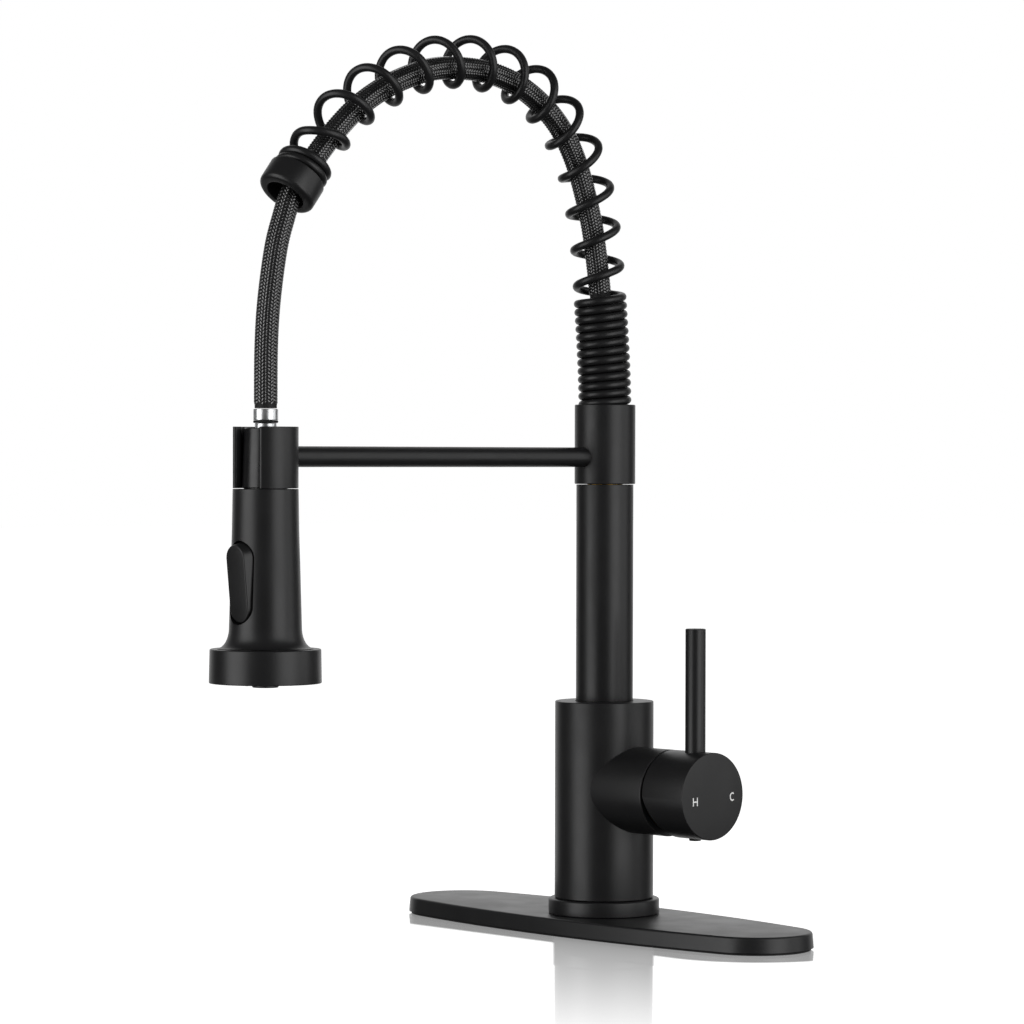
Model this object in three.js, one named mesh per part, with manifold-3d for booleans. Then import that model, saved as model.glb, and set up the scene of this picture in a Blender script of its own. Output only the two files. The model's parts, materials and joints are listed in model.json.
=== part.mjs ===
// Single-handle kitchen faucet with a spring spout and a pull-down spray head, on a deck plate.
// Millimetres, +Z up. The origin is on the column's axis, on the deck. The spout points along -Y,
// the handle along +X, and the deck plate is long along X.
import * as THREE from 'three';
import { mergeVertices } from 'three/addons/utils/BufferGeometryUtils.js';
import Module from 'manifold-3d';

const wasm = await Module();
wasm.setup();

// ---------------------------------------------------------------------------------------------
// Driving dimensions
// ---------------------------------------------------------------------------------------------

const GAP = 0.3; // between pieces that seat on, screw into or run on each other

// Deck plate: an oval of two shallow side arcs and two end arcs, on a flat gasket
const PLATE_LENGTH = 260;
const PLATE_WIDTH = 74;
const PLATE_END_RADIUS = 28;
const PLATE_HEIGHT = 7.4;
const PLATE_WALL = 2.4;
const PLATE_EDGE = 1.3; // radius of the top edge
const PLATE_DRAFT = 0.5; // how far the sides lean in
const GASKET_THICKNESS = 0.9;
const GASKET_INSET = 1.2;

// Base ring and body
const BASE_RING_RADIUS = 27.2;
const BASE_RING_HEIGHT = 7.3;
const BASE_RING_EDGE = 0.9;
const SEAL_INSET = 3; // flat seal under the base ring, from its bore
const SEAL_THICKNESS = 1.6;
const SEAL_WIDTH = 3;
const BODY_RADIUS = 24.2;
const BODY_HEIGHT = 96.5;
const BODY_EDGE = 0.5;
const SPIGOT_RADIUS = 16; // mounting spigot through the plate
const SPIGOT_HEIGHT = 40;
const INLET_OFFSET = 8.6; // hot and cold inlets, each side of the column's axis
const INLET_RADIUS = 4.4;
const INLET_BORE = 2.9;
const INLET_LENGTH = 14;
const CHANNEL_RADIUS = 3.2; // water ways inside the body

// Handle: everything here turns or is turned on the handle's axis
const HANDLE_HEIGHT = 70.4; // handle axis above the deck
const BOSS_RADIUS = 21; // boss and knob share it
const BOSS_REACH = 46.1; // end of the boss, from the column's axis
const KNOB_GROOVE = 1.2;
const KNOB_LENGTH = 27;
const KNOB_WALL = 2.5;
const KNOB_CUP_DEPTH = 7.7;
const KNOB_EDGE = 0.5;
const KNOB_RELIEF_ANGLE = 20; // slant of the lower inner rim, degrees
const LEVER_RADIUS = 4.9;
const LEVER_SETBACK = 11.75; // lever's axis behind the knob's face
const LEVER_LENGTH = 80; // lever's tip above the handle's axis
const LEVER_SINK = 11; // how deep the lever sits in the knob
const SET_SCREW_RADIUS = 2.2;
const SET_SCREW_LENGTH = 8;
const PLUG_RADIUS = 2.85;
const PLUG_LENGTH = 5;
const PLUG_PROUD = 0.9;
const HOT_MARK_PLACE = [-11.9, -1.9]; // beside and above the handle's axis
const COLD_MARK_PLACE = [13.5, -0.7];
const MARK_HEIGHT = 4;
const MARK_WIDTH = 3.3;
const MARK_STROKE = 0.6;
const MARK_OPENING = 52; // half of the C's opening, degrees
const MARK_DEPTH = 0.4;

// Mixing cartridge
const CARTRIDGE_RADIUS = 17.5;
const CARTRIDGE_LENGTH = 25.4;
const CARTRIDGE_WALL = 2.9;
const CARTRIDGE_FLOOR = 3.4;
const INLET_PORT_DROP = 6.4; // hot and cold ports below the handle's axis
const OUTLET_PORT_RISE = 9; // mixed water's port above it
const DISC_THICKNESS = 3;
const PORT_RADIUS = 3;
const MOVING_DISC_RADIUS = 10;
const MOVING_DISC_WALL = 3;
const ROTOR_BORE = 6.3;
const STEM_RADIUS = 3.5;
const STEM_PIVOT = 14.1; // pivot pin, behind the boss's end
const STEM_TAIL = 5;
const STEM_SINK = 12; // how deep the stem sits in the knob
const PIVOT_PIN_RADIUS = 1.3;
const PIVOT_PIN_LENGTH = 22;
const NUT_LENGTH = 7.5;
const NUT_BORE = 10.4; // retaining nut and bonnet, clear of the swinging stem
const BONNET_RADIUS = 17;
const BONNET_TOP_RADIUS = 12.5;
const BONNET_HEIGHT = 2.5;

// Riser, its swivel joint and the sleeve on top of it
const RISER_RADIUS = 14;
const RISER_WALL = 1.4;
const RISER_LENGTH = 106.2;
const SWIVEL_RADIUS = 11.1; // plug of the riser in the body
const SWIVEL_LENGTH = 14;
const SWIVEL_BORE = 5;
const SWIVEL_SINK = 10; // plug's neck up into the riser
const WASHER_THICKNESS = 0.6;
const O_RING_SECTION = 1.4;
const O_RING_INSET = 3; // from the ends of the plug
const SLEEVE_RADIUS = 14.9;
const SLEEVE_LENGTH = 38.9;
const SLEEVE_WALL = 1.5;
const SLEEVE_EDGE = 0.5;
const NIPPLE_RADIUS = 8.7;
const NIPPLE_SINK = 12; // down into the riser
const NIPPLE_THREAD_RADIUS = 6;
const NIPPLE_THREAD_LENGTH = 7;
const HOSE_NUT_RADIUS = 8.4;
const HOSE_NUT_LENGTH = 9.6;
const GRUB_RADIUS = 2; // small locking screws
const GRUB_RECESS = 0.8; // of a locking screw's outer end
const LOCK_GROOVE_DEPTH = 2.2;

// Arm and dock
const REACH = 215.6; // spray head's axis, from the column's axis
const ARCH_RISE = 161.7; // top of the spring's middle line above the sleeve
const ARM_RADIUS = 4.8;
const ARM_DROP = 25.8; // arm's axis below the sleeve's top
const ARM_SINK = 4.3;
const ARM_STUB_RADIUS = 2.6;
const ARM_STUB_LAP = 2; // of the stub inside the arm
const SEAT_RISE = 3.1; // floor of the sleeve's cup above the arm
const DOCK_RADIUS = 14.95;
const DOCK_BORE = 11.3;
const DOCK_HEIGHT = 28;
const DOCK_RISE = 13.6; // dock's top above the arm's axis
const DOCK_SLOT = 16.5;
const DOCK_EDGE = 0.5;

// Spring, its end collar and the spray hose
const SPRING_RADIUS = 11.05; // to the middle of the wire
const WIRE_RADIUS = 1.8;
const WIRE_BEND = 2.2;
const DENSE_TURNS = 15.26;
const DENSE_PITCH = 4.164;
const OPEN_TURNS = 14;
const OPEN_GROWTH = 0.2; // the open coils' pitch grows over the arch by this share of itself
const OPEN_BULGE = 0.34; // and is this much larger in its middle
const CLOSED_TURNS = 1.44; // against the collar
const CLOSED_PITCH = 4.15;
const RAMP_TURNS = 0.58; // from one pitch to the next
const COLLAR_RADIUS = 13.75;
const COLLAR_LENGTH = 12;
const COLLAR_EDGE = 2.1;
const COLLAR_BEVEL = 0.5;
const COLLAR_MOUTH = 9.2;
const COLLAR_BORE = 8.6;
const COLLAR_TILT = 38; // degrees from upright
const COLLAR_PLACE = [0.9137, 0.6357]; // its top, in shares of the reach and of the arch's rise
const HOSE_RADIUS = 5.4;
const HOSE_STEP = 17;
const FERRULE_RADIUS = 5.7;
const FERRULE_LENGTH = 5.2;
const FERRULE_BORE = 3.2;
const HOSE_NIPPLE_RADIUS = 5;
const HOSE_NIPPLE_BORE = 2;
const HOSE_NIPPLE_SHOW = 1.8; // of the nipple above the docking stem
const HOSE_NIPPLE_SINK = 13;
const HOSE_RING_SECTION = 0.7;
const HOSE_RING_RADIUS = 5.3;

// Spray head
const STEM_TOP_RADIUS = 9.75; // docking stem, which tapers
const STEM_FOOT_RADIUS = 10.75;
const STEM_HEIGHT = 27.5;
const STEM_CHAMFER = 0.6;
const STEM_SPIGOT_RADIUS = 10;
const STEM_SPIGOT_LENGTH = 10.6;
const WATERWAY_BORE = 4;
const SHELL_TOP_RADIUS = 15;
const SHELL_SWELL = [[18.7, 15.32], [33, 15.75], [46, 16.12]]; // [below the top, radius]
const SHELL_WAIST_RADIUS = 16.6; // above the flare
const SHELL_BEVEL = 0.4;
const SHELL_FLARE_RADIUS = 22;
const SHELL_LENGTH = 72.4; // dock joint to the face ring's top
const SHELL_FLARE_HEIGHT = 9.5;
const SHELL_SKIRT_RADIUS = 20;
const SHELL_SKIRT_LENGTH = 5.5;
const CORE_RADIUS = 8.3;
const CORE_FLANGE_RADIUS = 16.6;
const CORE_FLANGE_HEIGHT = 5;
const CORE_NECK_HEIGHT = 6; // above the shell's flared end
const FACE_RING_RADIUS = 25.7;
const FACE_RING_HEIGHT = 15.6;
const FACE_RING_EDGE = 0.5;
const FACE_RING_STEP = 0.3; // its top edge is this much narrower
const FACE_RING_LIP = 4.2;
const FACE_RING_LIP_HEIGHT = 1.6;
const NOZZLE_PLATE_THICKNESS = 3;
const NOZZLE_PLATE_LAP = 1.6; // how far the lip reaches under it
const NOZZLE_RINGS = [
  { radius: 17.8, count: 16 },
  { radius: 12, count: 10 },
];
const NOZZLE_RADIUS = 0.9;
const NOZZLE_TIP_RADIUS = 0.63;
const NOZZLE_LENGTH = 2.4;
const AERATOR_RADIUS = 6;
const AERATOR_FLANGE_RADIUS = 8;
const AERATOR_FLANGE_HEIGHT = 2.4;
const AERATOR_PROUD = 2; // below the face ring
const AERATOR_BORE = 4.6;
const AERATOR_RECESS = 3;

// Spray toggle: a rocker in the head's front
const TOGGLE_DROP = 42.4; // pivot below the dock joint
const TOGGLE_LENGTH = 35;
const TOGGLE_WIDTH = 12.4;
const TOGGLE_DRAFT = 1.1;
const TOGGLE_EDGE = 0.5;
const TOGGLE_FRONT = 16.8; // front face from the head's axis
const TOGGLE_BACK = 12.3;
const TOGGLE_TILT = 5.75; // degrees, top out
const TOGGLE_PIVOT = 10.9; // pivot from the head's axis
const TOGGLE_HUB_RADIUS = 1.7;
const TOGGLE_PIN_RADIUS = 0.9;
const TOGGLE_PIN_LENGTH = 19;
const POCKET_LENGTH = 38.2;
const POCKET_WIDTH = 16.4;
const PLUNGER_RADIUS = 2.4;
const PLUNGER_DROP = 11; // plunger's axis below the toggle's pivot
const PLUNGER_SINK = 6;

// Facets of round pieces
const FINE = 32;
const MEDIUM = 20;
const COARSE = 10;
const HEXAGON = 6;
const NOZZLE_SIDES = 5;
const RING_SIDES = 5;
const PLATE_STEPS = 6; // of half a side or an end
const FLARE_STEPS = 5;
const EDGE_STEPS = 2;
const CUT_PAST = 1; // how far a cutting piece reaches past a face

// ---------------------------------------------------------------------------------------------
// Heights and places that follow from them
// ---------------------------------------------------------------------------------------------

const plateBottom = GASKET_THICKNESS + GAP;
const plateTop = plateBottom + PLATE_HEIGHT;
const ringBottom = plateTop + GAP;
const ringTop = ringBottom + BASE_RING_HEIGHT;
const bodyBottom = ringTop + GAP;
const bodyTop = bodyBottom + BODY_HEIGHT;
const bossHoleEnd = BOSS_REACH - NUT_LENGTH - CARTRIDGE_LENGTH - 3 * GAP;
const stemPivotPlace = BOSS_REACH - STEM_PIVOT;
const knobStart = BOSS_REACH + KNOB_GROOVE;
const knobFace = knobStart + KNOB_LENGTH;
const leverPlace = knobFace - LEVER_SETBACK;

const riserBottom = bodyTop;
const riserTop = riserBottom + RISER_LENGTH;
const swivelBottom = riserBottom - SWIVEL_LENGTH;
const sleeveBottom = riserTop + GAP;
const sleeveTop = sleeveBottom + SLEEVE_LENGTH;
const armHeight = sleeveTop - ARM_DROP;
const seatHeight = armHeight + ARM_RADIUS + SEAT_RISE;
const hoseStart = seatHeight + NIPPLE_THREAD_LENGTH + 2 * GAP;

const dockTop = armHeight + DOCK_RISE;
const dockBottom = dockTop - DOCK_HEIGHT;
const shellTop = dockBottom - GAP;
const shellBottom = shellTop - SHELL_LENGTH;
const faceRingTop = shellBottom - GAP;
const faceRingBottom = faceRingTop - FACE_RING_HEIGHT;
const stemFoot = shellTop + GAP;
const stemTop = stemFoot + STEM_HEIGHT;
const ferruleBottom = stemTop + GAP + HOSE_NIPPLE_SHOW + HOSE_RING_SECTION + 2 * GAP;
const ferruleTop = ferruleBottom + FERRULE_LENGTH;
const hoseEnd = ferruleTop + GAP;
const togglePivotHeight = shellTop - TOGGLE_DROP;

// Places over the arch, as shares of the reach and of the arch's rise, to [y, z]
const overArch = (places) =>
  places.map(([reach, rise]) => [-reach * REACH, sleeveTop + rise * ARCH_RISE]);

// Route of the spring's middle line, from the seat in the sleeve to the collar
const springFoot = seatHeight + GAP + 2 * WIRE_RADIUS + WIRE_BEND;
const springRoute = [
  [0, springFoot],
  ...overArch([
    [0.0005, -0.0025], [0.0023, 0.0717], [0.006, 0.1521], [0.0116, 0.2449], [0.019, 0.3506],
    [0.0283, 0.4719], [0.0431, 0.5764], [0.0686, 0.6951], [0.1169, 0.8095], [0.1865, 0.9004],
    [0.2741, 0.9623], [0.3697, 0.9944], [0.4717, 0.9975], [0.5742, 0.9709], [0.6684, 0.9227],
    [0.7607, 0.8516], [0.8363, 0.7613], [0.8585, 0.7192], [0.8827, 0.6846], [0.9096, 0.6401],
  ]),
];
// Route of the hose: through the spring, out of the collar and down to the ferrule
const hoseRoute = [
  [0, hoseStart],
  ...overArch([
    [0, -0.0025], [0.0028, 0.1058], [0.0079, 0.214], [0.0153, 0.3216], [0.0269, 0.4292],
    [0.0422, 0.5349], [0.0663, 0.6388], [0.0979, 0.739], [0.1452, 0.8299], [0.2092, 0.8998],
    [0.2829, 0.9493], [0.3627, 0.9753], [0.4434, 0.9802], [0.5246, 0.9709], [0.6025, 0.9412],
    [0.6772, 0.8986], [0.7468, 0.8417], [0.8089, 0.7699], [0.8646, 0.6914], [0.9123, 0.6215],
    [0.9365, 0.569], [0.9522, 0.5139], [0.9689, 0.4477], [0.9842, 0.3457], [0.9944, 0.2437],
    [0.9991, 0.1429], [1, 0.047],
  ]),
  [-REACH, hoseEnd],
];
const collarTop = new THREE.Vector3(0, ...overArch([COLLAR_PLACE])[0]);

// ---------------------------------------------------------------------------------------------
// Looks
// ---------------------------------------------------------------------------------------------

const look = (color, roughness, metalness) => () =>
  new THREE.MeshStandardMaterial({ color, roughness, metalness });
const matteBlack = look('#1d1d1e', 0.45, 0.35);
const glossBlack = look('#0d0d0e', 0.12, 0.1);
const chrome = look('#c9cbcd', 0.12, 1);
const brass = look('#b08d4a', 0.35, 1);
const steel = look('#9a9c9f', 0.3, 1);
const rubber = look('#161616', 0.85, 0);
const plastic = look('#e6e4de', 0.5, 0);
const darkPlastic = look('#232427', 0.55, 0);
const ceramic = look('#f1efe8', 0.3, 0);
const whiteInk = look('#f5f5f5', 0.5, 0);
const braid = look('#18191a', 0.5, 0.1);

// ---------------------------------------------------------------------------------------------
// Geometry helpers
// ---------------------------------------------------------------------------------------------

const radians = THREE.MathUtils.degToRad;

// One closed body: shared vertices, no slivers, faces outward
function closed(geometry) {
  const bare = geometry.clone();
  for (const name of Object.keys(bare.attributes)) {
    if (name !== 'position') bare.deleteAttribute(name);
  }
  const merged = mergeVertices(bare, 1e-4);
  const position = merged.attributes.position;
  const corners = [...merged.index.array];
  const point = (i) => new THREE.Vector3().fromBufferAttribute(position, i);
  const kept = [];
  let volume = 0;
  for (let i = 0; i < corners.length; i += 3) {
    const [a, b, c] = corners.slice(i, i + 3);
    if (a === b || b === c || c === a) continue;
    kept.push([a, b, c]);
    volume += point(a).dot(point(b).cross(point(c)));
  }
  merged.setIndex(kept.flatMap(([a, b, c]) => (volume > 0 ? [a, b, c] : [a, c, b])));
  return merged;
}

function toManifold(geometry) {
  const body = closed(geometry);
  return new wasm.Manifold(new wasm.Mesh({
    numProp: 3,
    vertProperties: new Float32Array(body.attributes.position.array),
    triVerts: new Uint32Array(body.index.array),
  }));
}

function fromManifold(solid) {
  const mesh = solid.getMesh();
  const geometry = new THREE.BufferGeometry();
  geometry.setAttribute('position', new THREE.Float32BufferAttribute(mesh.vertProperties, 3));
  geometry.setIndex([...mesh.triVerts]);
  return geometry;
}

const cut = (base, ...tools) =>
  fromManifold(tools.reduce((solid, tool) => solid.subtract(toManifold(tool)), toManifold(base)));
const join = (base, ...others) =>
  fromManifold(others.reduce((solid, other) => solid.add(toManifold(other)), toManifold(base)));

// A turned piece about Z from a closed outline of [radius, height]
function turned(outline, facets = MEDIUM) {
  const points = [...outline, outline[0]].map(([r, z]) => new THREE.Vector2(Math.max(r, 0), z));
  return new THREE.LatheGeometry(points, facets).rotateX(Math.PI / 2);
}

// The same about X, from [radius, x], raised to the handle's axis
const turnedOnHandle = (outline, facets) =>
  turned(outline, facets).rotateY(Math.PI / 2).translate(0, 0, HANDLE_HEIGHT);

const rod = (radius, from, to, facets) =>
  turned([[0, from], [radius, from], [radius, to], [0, to]], facets);
const pipe = (outer, inner, from, to, facets) =>
  turned([[inner, from], [outer, from], [outer, to], [inner, to]], facets);
const rodOnHandle = (radius, from, to, facets) =>
  rod(radius, from, to, facets).rotateY(Math.PI / 2).translate(0, 0, HANDLE_HEIGHT);
const rodAlongY = (radius, from, to, facets) => rod(radius, -to, -from, facets).rotateX(Math.PI / 2);
const rodAlongX = (radius, from, to, facets) => rod(radius, from, to, facets).rotateY(Math.PI / 2);

// Quarter round from the side (radius, height - edge) to the top (radius - edge, height)
function roundedRim(radius, height, edge) {
  const points = [];
  for (let i = 0; i <= EDGE_STEPS; i += 1) {
    const angle = (i / EDGE_STEPS) * (Math.PI / 2);
    points.push([radius - edge + edge * Math.cos(angle), height - edge + edge * Math.sin(angle)]);
  }
  return points;
}

// A ring seal with a round section
const ringSeal = (innerRadius, section, height) =>
  new THREE.TorusGeometry(innerRadius + section / 2, section / 2, RING_SIDES, MEDIUM)
    .translate(0, 0, height);

// Skin over a run of closed loops with as many points each, capped at both ends
function loft(loops) {
  const count = loops[0].length;
  const points = loops.flat();
  const faces = [];
  for (let level = 0; level < loops.length - 1; level += 1) {
    for (let i = 0; i < count; i += 1) {
      const a = level * count + i;
      const b = level * count + ((i + 1) % count);
      faces.push(a, b, b + count, a, b + count, a + count);
    }
  }
  for (const [start, turn] of [[0, 1], [(loops.length - 1) * count, 0]]) {
    const middle = points.length;
    points.push(loops[start ? loops.length - 1 : 0]
      .reduce((sum, p) => sum.add(p), new THREE.Vector3()).divideScalar(count));
    for (let i = 0; i < count; i += 1) {
      const pair = [start + i, start + ((i + 1) % count)];
      faces.push(middle, pair[turn], pair[1 - turn]);
    }
  }
  const geometry = new THREE.BufferGeometry().setFromPoints(points);
  geometry.setIndex(faces);
  return geometry;
}

// Stadium outline, round ends up and down, as points in X and Z
function stadium(length, width, steps = 6) {
  const points = [];
  for (let i = 0; i <= steps; i += 1) {
    const angle = (i / steps) * Math.PI;
    points.push([width / 2 * Math.cos(angle), (length - width) / 2 + width / 2 * Math.sin(angle)]);
  }
  return [...points, ...points.map(([x, z]) => [-x, -z])];
}

// ---------------------------------------------------------------------------------------------
// The assembly: groups for what moves together
// ---------------------------------------------------------------------------------------------

const faucet = new THREE.Group();
const sprayHead = new THREE.Group(); // its origin is on the head's axis, on the deck
sprayHead.position.set(0, -REACH, 0);
const collarGroup = new THREE.Group();
collarGroup.position.copy(collarTop);
collarGroup.rotation.x = -radians(COLLAR_TILT);
faucet.add(sprayHead, collarGroup);

function add(name, geometry, material, parent = faucet) {
  const finished = closed(geometry);
  finished.computeVertexNormals();
  const mesh = new THREE.Mesh(finished, material());
  mesh.name = name;
  parent.add(mesh);
}

// ---------------------------------------------------------------------------------------------
// Deck plate, gasket and base ring
// ---------------------------------------------------------------------------------------------

function plateOutline(inset, height) {
  const halfLength = PLATE_LENGTH / 2 - inset;
  const halfWidth = PLATE_WIDTH / 2 - inset;
  const endRadius = PLATE_END_RADIUS - inset;
  const endCentre = halfLength - endRadius;
  const sideRadius = (endCentre ** 2 + halfWidth ** 2 - endRadius ** 2) / (2 * (halfWidth - endRadius));
  const sideAngle = Math.atan2(endCentre, sideRadius - halfWidth);
  const half = [];
  for (let i = -PLATE_STEPS; i < PLATE_STEPS; i += 1) {
    const angle = (i / PLATE_STEPS) * sideAngle;
    half.push([sideRadius * Math.sin(angle), halfWidth - sideRadius + sideRadius * Math.cos(angle)]);
  }
  for (let i = 0; i < 2 * PLATE_STEPS; i += 1) {
    const angle = (1 - i / PLATE_STEPS) * (Math.PI / 2 - sideAngle);
    half.push([endCentre + endRadius * Math.cos(angle), endRadius * Math.sin(angle)]);
  }
  return [...half, ...half.map(([x, y]) => [-x, -y])].map(([x, y]) => new THREE.Vector3(x, y, height));
}

function deckPlate() {
  const rim = roundedRim(0, plateTop, PLATE_EDGE);
  const outside = loft([
    plateOutline(0, plateBottom),
    ...rim.map(([inward, height]) => plateOutline(PLATE_DRAFT - inward, height)),
  ]);
  const hollow = loft([
    plateOutline(PLATE_WALL, plateBottom - CUT_PAST),
    plateOutline(PLATE_WALL + PLATE_DRAFT, plateTop - PLATE_WALL),
  ]);
  const pad = pipe(BASE_RING_RADIUS, SPIGOT_RADIUS + GAP, plateBottom, plateTop - PLATE_WALL / 2);
  const hole = rod(SPIGOT_RADIUS + GAP, plateBottom - CUT_PAST, plateTop + CUT_PAST);
  return cut(join(cut(outside, hollow), pad), hole);
}

function deckGasket() {
  const sheet = loft([plateOutline(GASKET_INSET, 0), plateOutline(GASKET_INSET, GASKET_THICKNESS)]);
  return cut(sheet, rod(SPIGOT_RADIUS + GAP, -CUT_PAST, GASKET_THICKNESS + CUT_PAST));
}

const ringSealInner = SPIGOT_RADIUS + SEAL_INSET;

function baseRing() {
  const inner = SPIGOT_RADIUS + GAP;
  const recess = ringBottom + SEAL_THICKNESS + GAP;
  return turned([
    [inner, ringBottom], [ringSealInner - GAP, ringBottom], [ringSealInner - GAP, recess],
    [ringSealInner + SEAL_WIDTH + GAP, recess], [ringSealInner + SEAL_WIDTH + GAP, ringBottom],
    [BASE_RING_RADIUS, ringBottom], ...roundedRim(BASE_RING_RADIUS, ringTop, BASE_RING_EDGE),
    [inner, ringTop],
  ], FINE);
}

add('deck_gasket', deckGasket(), rubber);
add('deck_plate', deckPlate(), matteBlack);
add('base_ring', baseRing(), matteBlack);
add('base_ring_seal',
  pipe(ringSealInner + SEAL_WIDTH, ringSealInner, ringBottom, ringBottom + SEAL_THICKNESS), rubber);

// ---------------------------------------------------------------------------------------------
// Mounting spigot with the hot and cold inlets
// ---------------------------------------------------------------------------------------------

const inletSides = [['hot', -1], ['cold', 1]];

function mountingSpigot() {
  const ports = inletSides.flatMap(([, side]) => [
    rod(INLET_RADIUS + GAP, -CUT_PAST, INLET_LENGTH + GAP, COARSE).translate(0, side * INLET_OFFSET, 0),
    rod(CHANNEL_RADIUS, INLET_LENGTH, SPIGOT_HEIGHT + CUT_PAST, COARSE)
      .translate(0, side * INLET_OFFSET, 0),
  ]);
  return cut(rod(SPIGOT_RADIUS, 0, SPIGOT_HEIGHT), ...ports);
}

add('mounting_spigot', mountingSpigot(), brass);
for (const [name, side] of inletSides) {
  add(`${name}_inlet_fitting`,
    pipe(INLET_RADIUS, INLET_BORE, 0, INLET_LENGTH, COARSE).translate(0, side * INLET_OFFSET, 0), brass);
}

// ---------------------------------------------------------------------------------------------
// Body: column, boss for the handle, and the water ways
// ---------------------------------------------------------------------------------------------

const inletPortHeight = HANDLE_HEIGHT - INLET_PORT_DROP;
const outletPortHeight = HANDLE_HEIGHT + OUTLET_PORT_RISE;
const swivelScrewHeight = swivelBottom + SWIVEL_LENGTH / 2;

function faucetBody() {
  const column = turned([
    [0, bodyBottom], [BODY_RADIUS, bodyBottom], ...roundedRim(BODY_RADIUS, bodyTop, BODY_EDGE),
    [0, bodyTop],
  ], FINE);
  const boss = rodOnHandle(BOSS_RADIUS, 0, BOSS_REACH, FINE);
  const inletWays = inletSides.flatMap(([, side]) => [
    rod(CHANNEL_RADIUS, SPIGOT_HEIGHT, inletPortHeight, COARSE).translate(0, side * INLET_OFFSET, 0),
    rodAlongX(CHANNEL_RADIUS, 0, bossHoleEnd + CUT_PAST, COARSE)
      .translate(0, side * INLET_OFFSET, inletPortHeight),
  ]);
  return cut(
    join(column, boss),
    rodOnHandle(CARTRIDGE_RADIUS + GAP, bossHoleEnd, BOSS_REACH + CUT_PAST, FINE),
    rod(SPIGOT_RADIUS + GAP, bodyBottom - CUT_PAST, SPIGOT_HEIGHT + GAP),
    ...inletWays,
    rodAlongX(WATERWAY_BORE, 0, bossHoleEnd + CUT_PAST, COARSE).translate(0, 0, outletPortHeight),
    rod(WATERWAY_BORE, outletPortHeight, swivelBottom, COARSE),
    rod(SWIVEL_RADIUS + GAP, swivelBottom - GAP, bodyTop + CUT_PAST),
    rod(RISER_RADIUS + GAP, bodyTop - WASHER_THICKNESS - 2 * GAP, bodyTop + CUT_PAST, FINE),
    rodAlongY(GRUB_RADIUS + GAP, SWIVEL_RADIUS - CUT_PAST, BODY_RADIUS + CUT_PAST, COARSE)
      .translate(0, 0, swivelScrewHeight),
  );
}

add('faucet_body', faucetBody(), matteBlack);
add('swivel_lock_screw',
  rodAlongY(GRUB_RADIUS, SWIVEL_RADIUS - LOCK_GROOVE_DEPTH + GAP, BODY_RADIUS - GRUB_RECESS, COARSE)
    .translate(0, 0, swivelScrewHeight), steel);

// ---------------------------------------------------------------------------------------------
// Mixing cartridge in the boss
// ---------------------------------------------------------------------------------------------

const cartridgeStart = bossHoleEnd + GAP;
const cartridgeEnd = cartridgeStart + CARTRIDGE_LENGTH;
const cartridgeBore = CARTRIDGE_RADIUS - CARTRIDGE_WALL;
const discStart = cartridgeStart + CARTRIDGE_FLOOR + GAP;
const movingDiscStart = discStart + DISC_THICKNESS + GAP;
const rotorStart = movingDiscStart + DISC_THICKNESS + GAP;

// The three ways through the cartridge's floor and discs: hot, cold and mixed
const portPlaces = [
  [-INLET_OFFSET, inletPortHeight], [INLET_OFFSET, inletPortHeight], [0, outletPortHeight],
];
const portHoles = (from, to) => portPlaces.map(([y, z]) =>
  rodAlongX(PORT_RADIUS, from, to, COARSE).translate(0, y, z));

function cartridgeBody() {
  const cup = turnedOnHandle([
    [0, cartridgeStart], [CARTRIDGE_RADIUS, cartridgeStart], [CARTRIDGE_RADIUS, cartridgeEnd],
    [cartridgeBore, cartridgeEnd], [cartridgeBore, discStart - GAP], [0, discStart - GAP],
  ]);
  return cut(cup, ...portHoles(cartridgeStart - CUT_PAST, discStart + CUT_PAST));
}

function fixedDisc() {
  const disc = rodOnHandle(cartridgeBore - GAP, discStart, discStart + DISC_THICKNESS);
  return cut(disc, ...portHoles(discStart - CUT_PAST, discStart + DISC_THICKNESS + CUT_PAST));
}

// The moving disc has a blind pocket that joins the ports as it slides
function movingDisc() {
  const disc = rodOnHandle(MOVING_DISC_RADIUS, movingDiscStart, movingDiscStart + DISC_THICKNESS);
  const pocket = rodOnHandle(MOVING_DISC_RADIUS - MOVING_DISC_WALL, movingDiscStart - CUT_PAST,
    movingDiscStart + DISC_THICKNESS / 2, COARSE);
  return cut(disc, pocket);
}

function cartridgeRotor() {
  const block = turnedOnHandle([
    [ROTOR_BORE, rotorStart], [cartridgeBore - GAP, rotorStart],
    [cartridgeBore - GAP, cartridgeEnd - GAP], [ROTOR_BORE, cartridgeEnd - GAP],
  ]);
  const pinHole = rodAlongY(PIVOT_PIN_RADIUS + GAP, -cartridgeBore, cartridgeBore, COARSE)
    .translate(stemPivotPlace, 0, HANDLE_HEIGHT);
  return cut(block, pinHole);
}

function retainingNut() {
  const start = cartridgeEnd + GAP;
  const end = start + NUT_LENGTH;
  return turnedOnHandle([
    [NUT_BORE, start], [CARTRIDGE_RADIUS, start], [CARTRIDGE_RADIUS, end], [NUT_BORE, end],
  ]);
}

function cartridgeBonnet() {
  const start = BOSS_REACH + GAP;
  return turnedOnHandle([
    [NUT_BORE, start], [BONNET_RADIUS, start], [BONNET_RADIUS, start + BONNET_HEIGHT / 3],
    [BONNET_TOP_RADIUS, start + BONNET_HEIGHT], [NUT_BORE, start + BONNET_HEIGHT],
  ], FINE);
}

function cartridgeStem() {
  const stem = rodOnHandle(STEM_RADIUS, stemPivotPlace - STEM_TAIL,
    knobStart + KNOB_CUP_DEPTH + STEM_SINK - GAP, COARSE);
  const pinHole = rodAlongY(PIVOT_PIN_RADIUS + GAP, -STEM_RADIUS - CUT_PAST, STEM_RADIUS + CUT_PAST, COARSE)
    .translate(stemPivotPlace, 0, HANDLE_HEIGHT);
  return cut(stem, pinHole);
}

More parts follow.
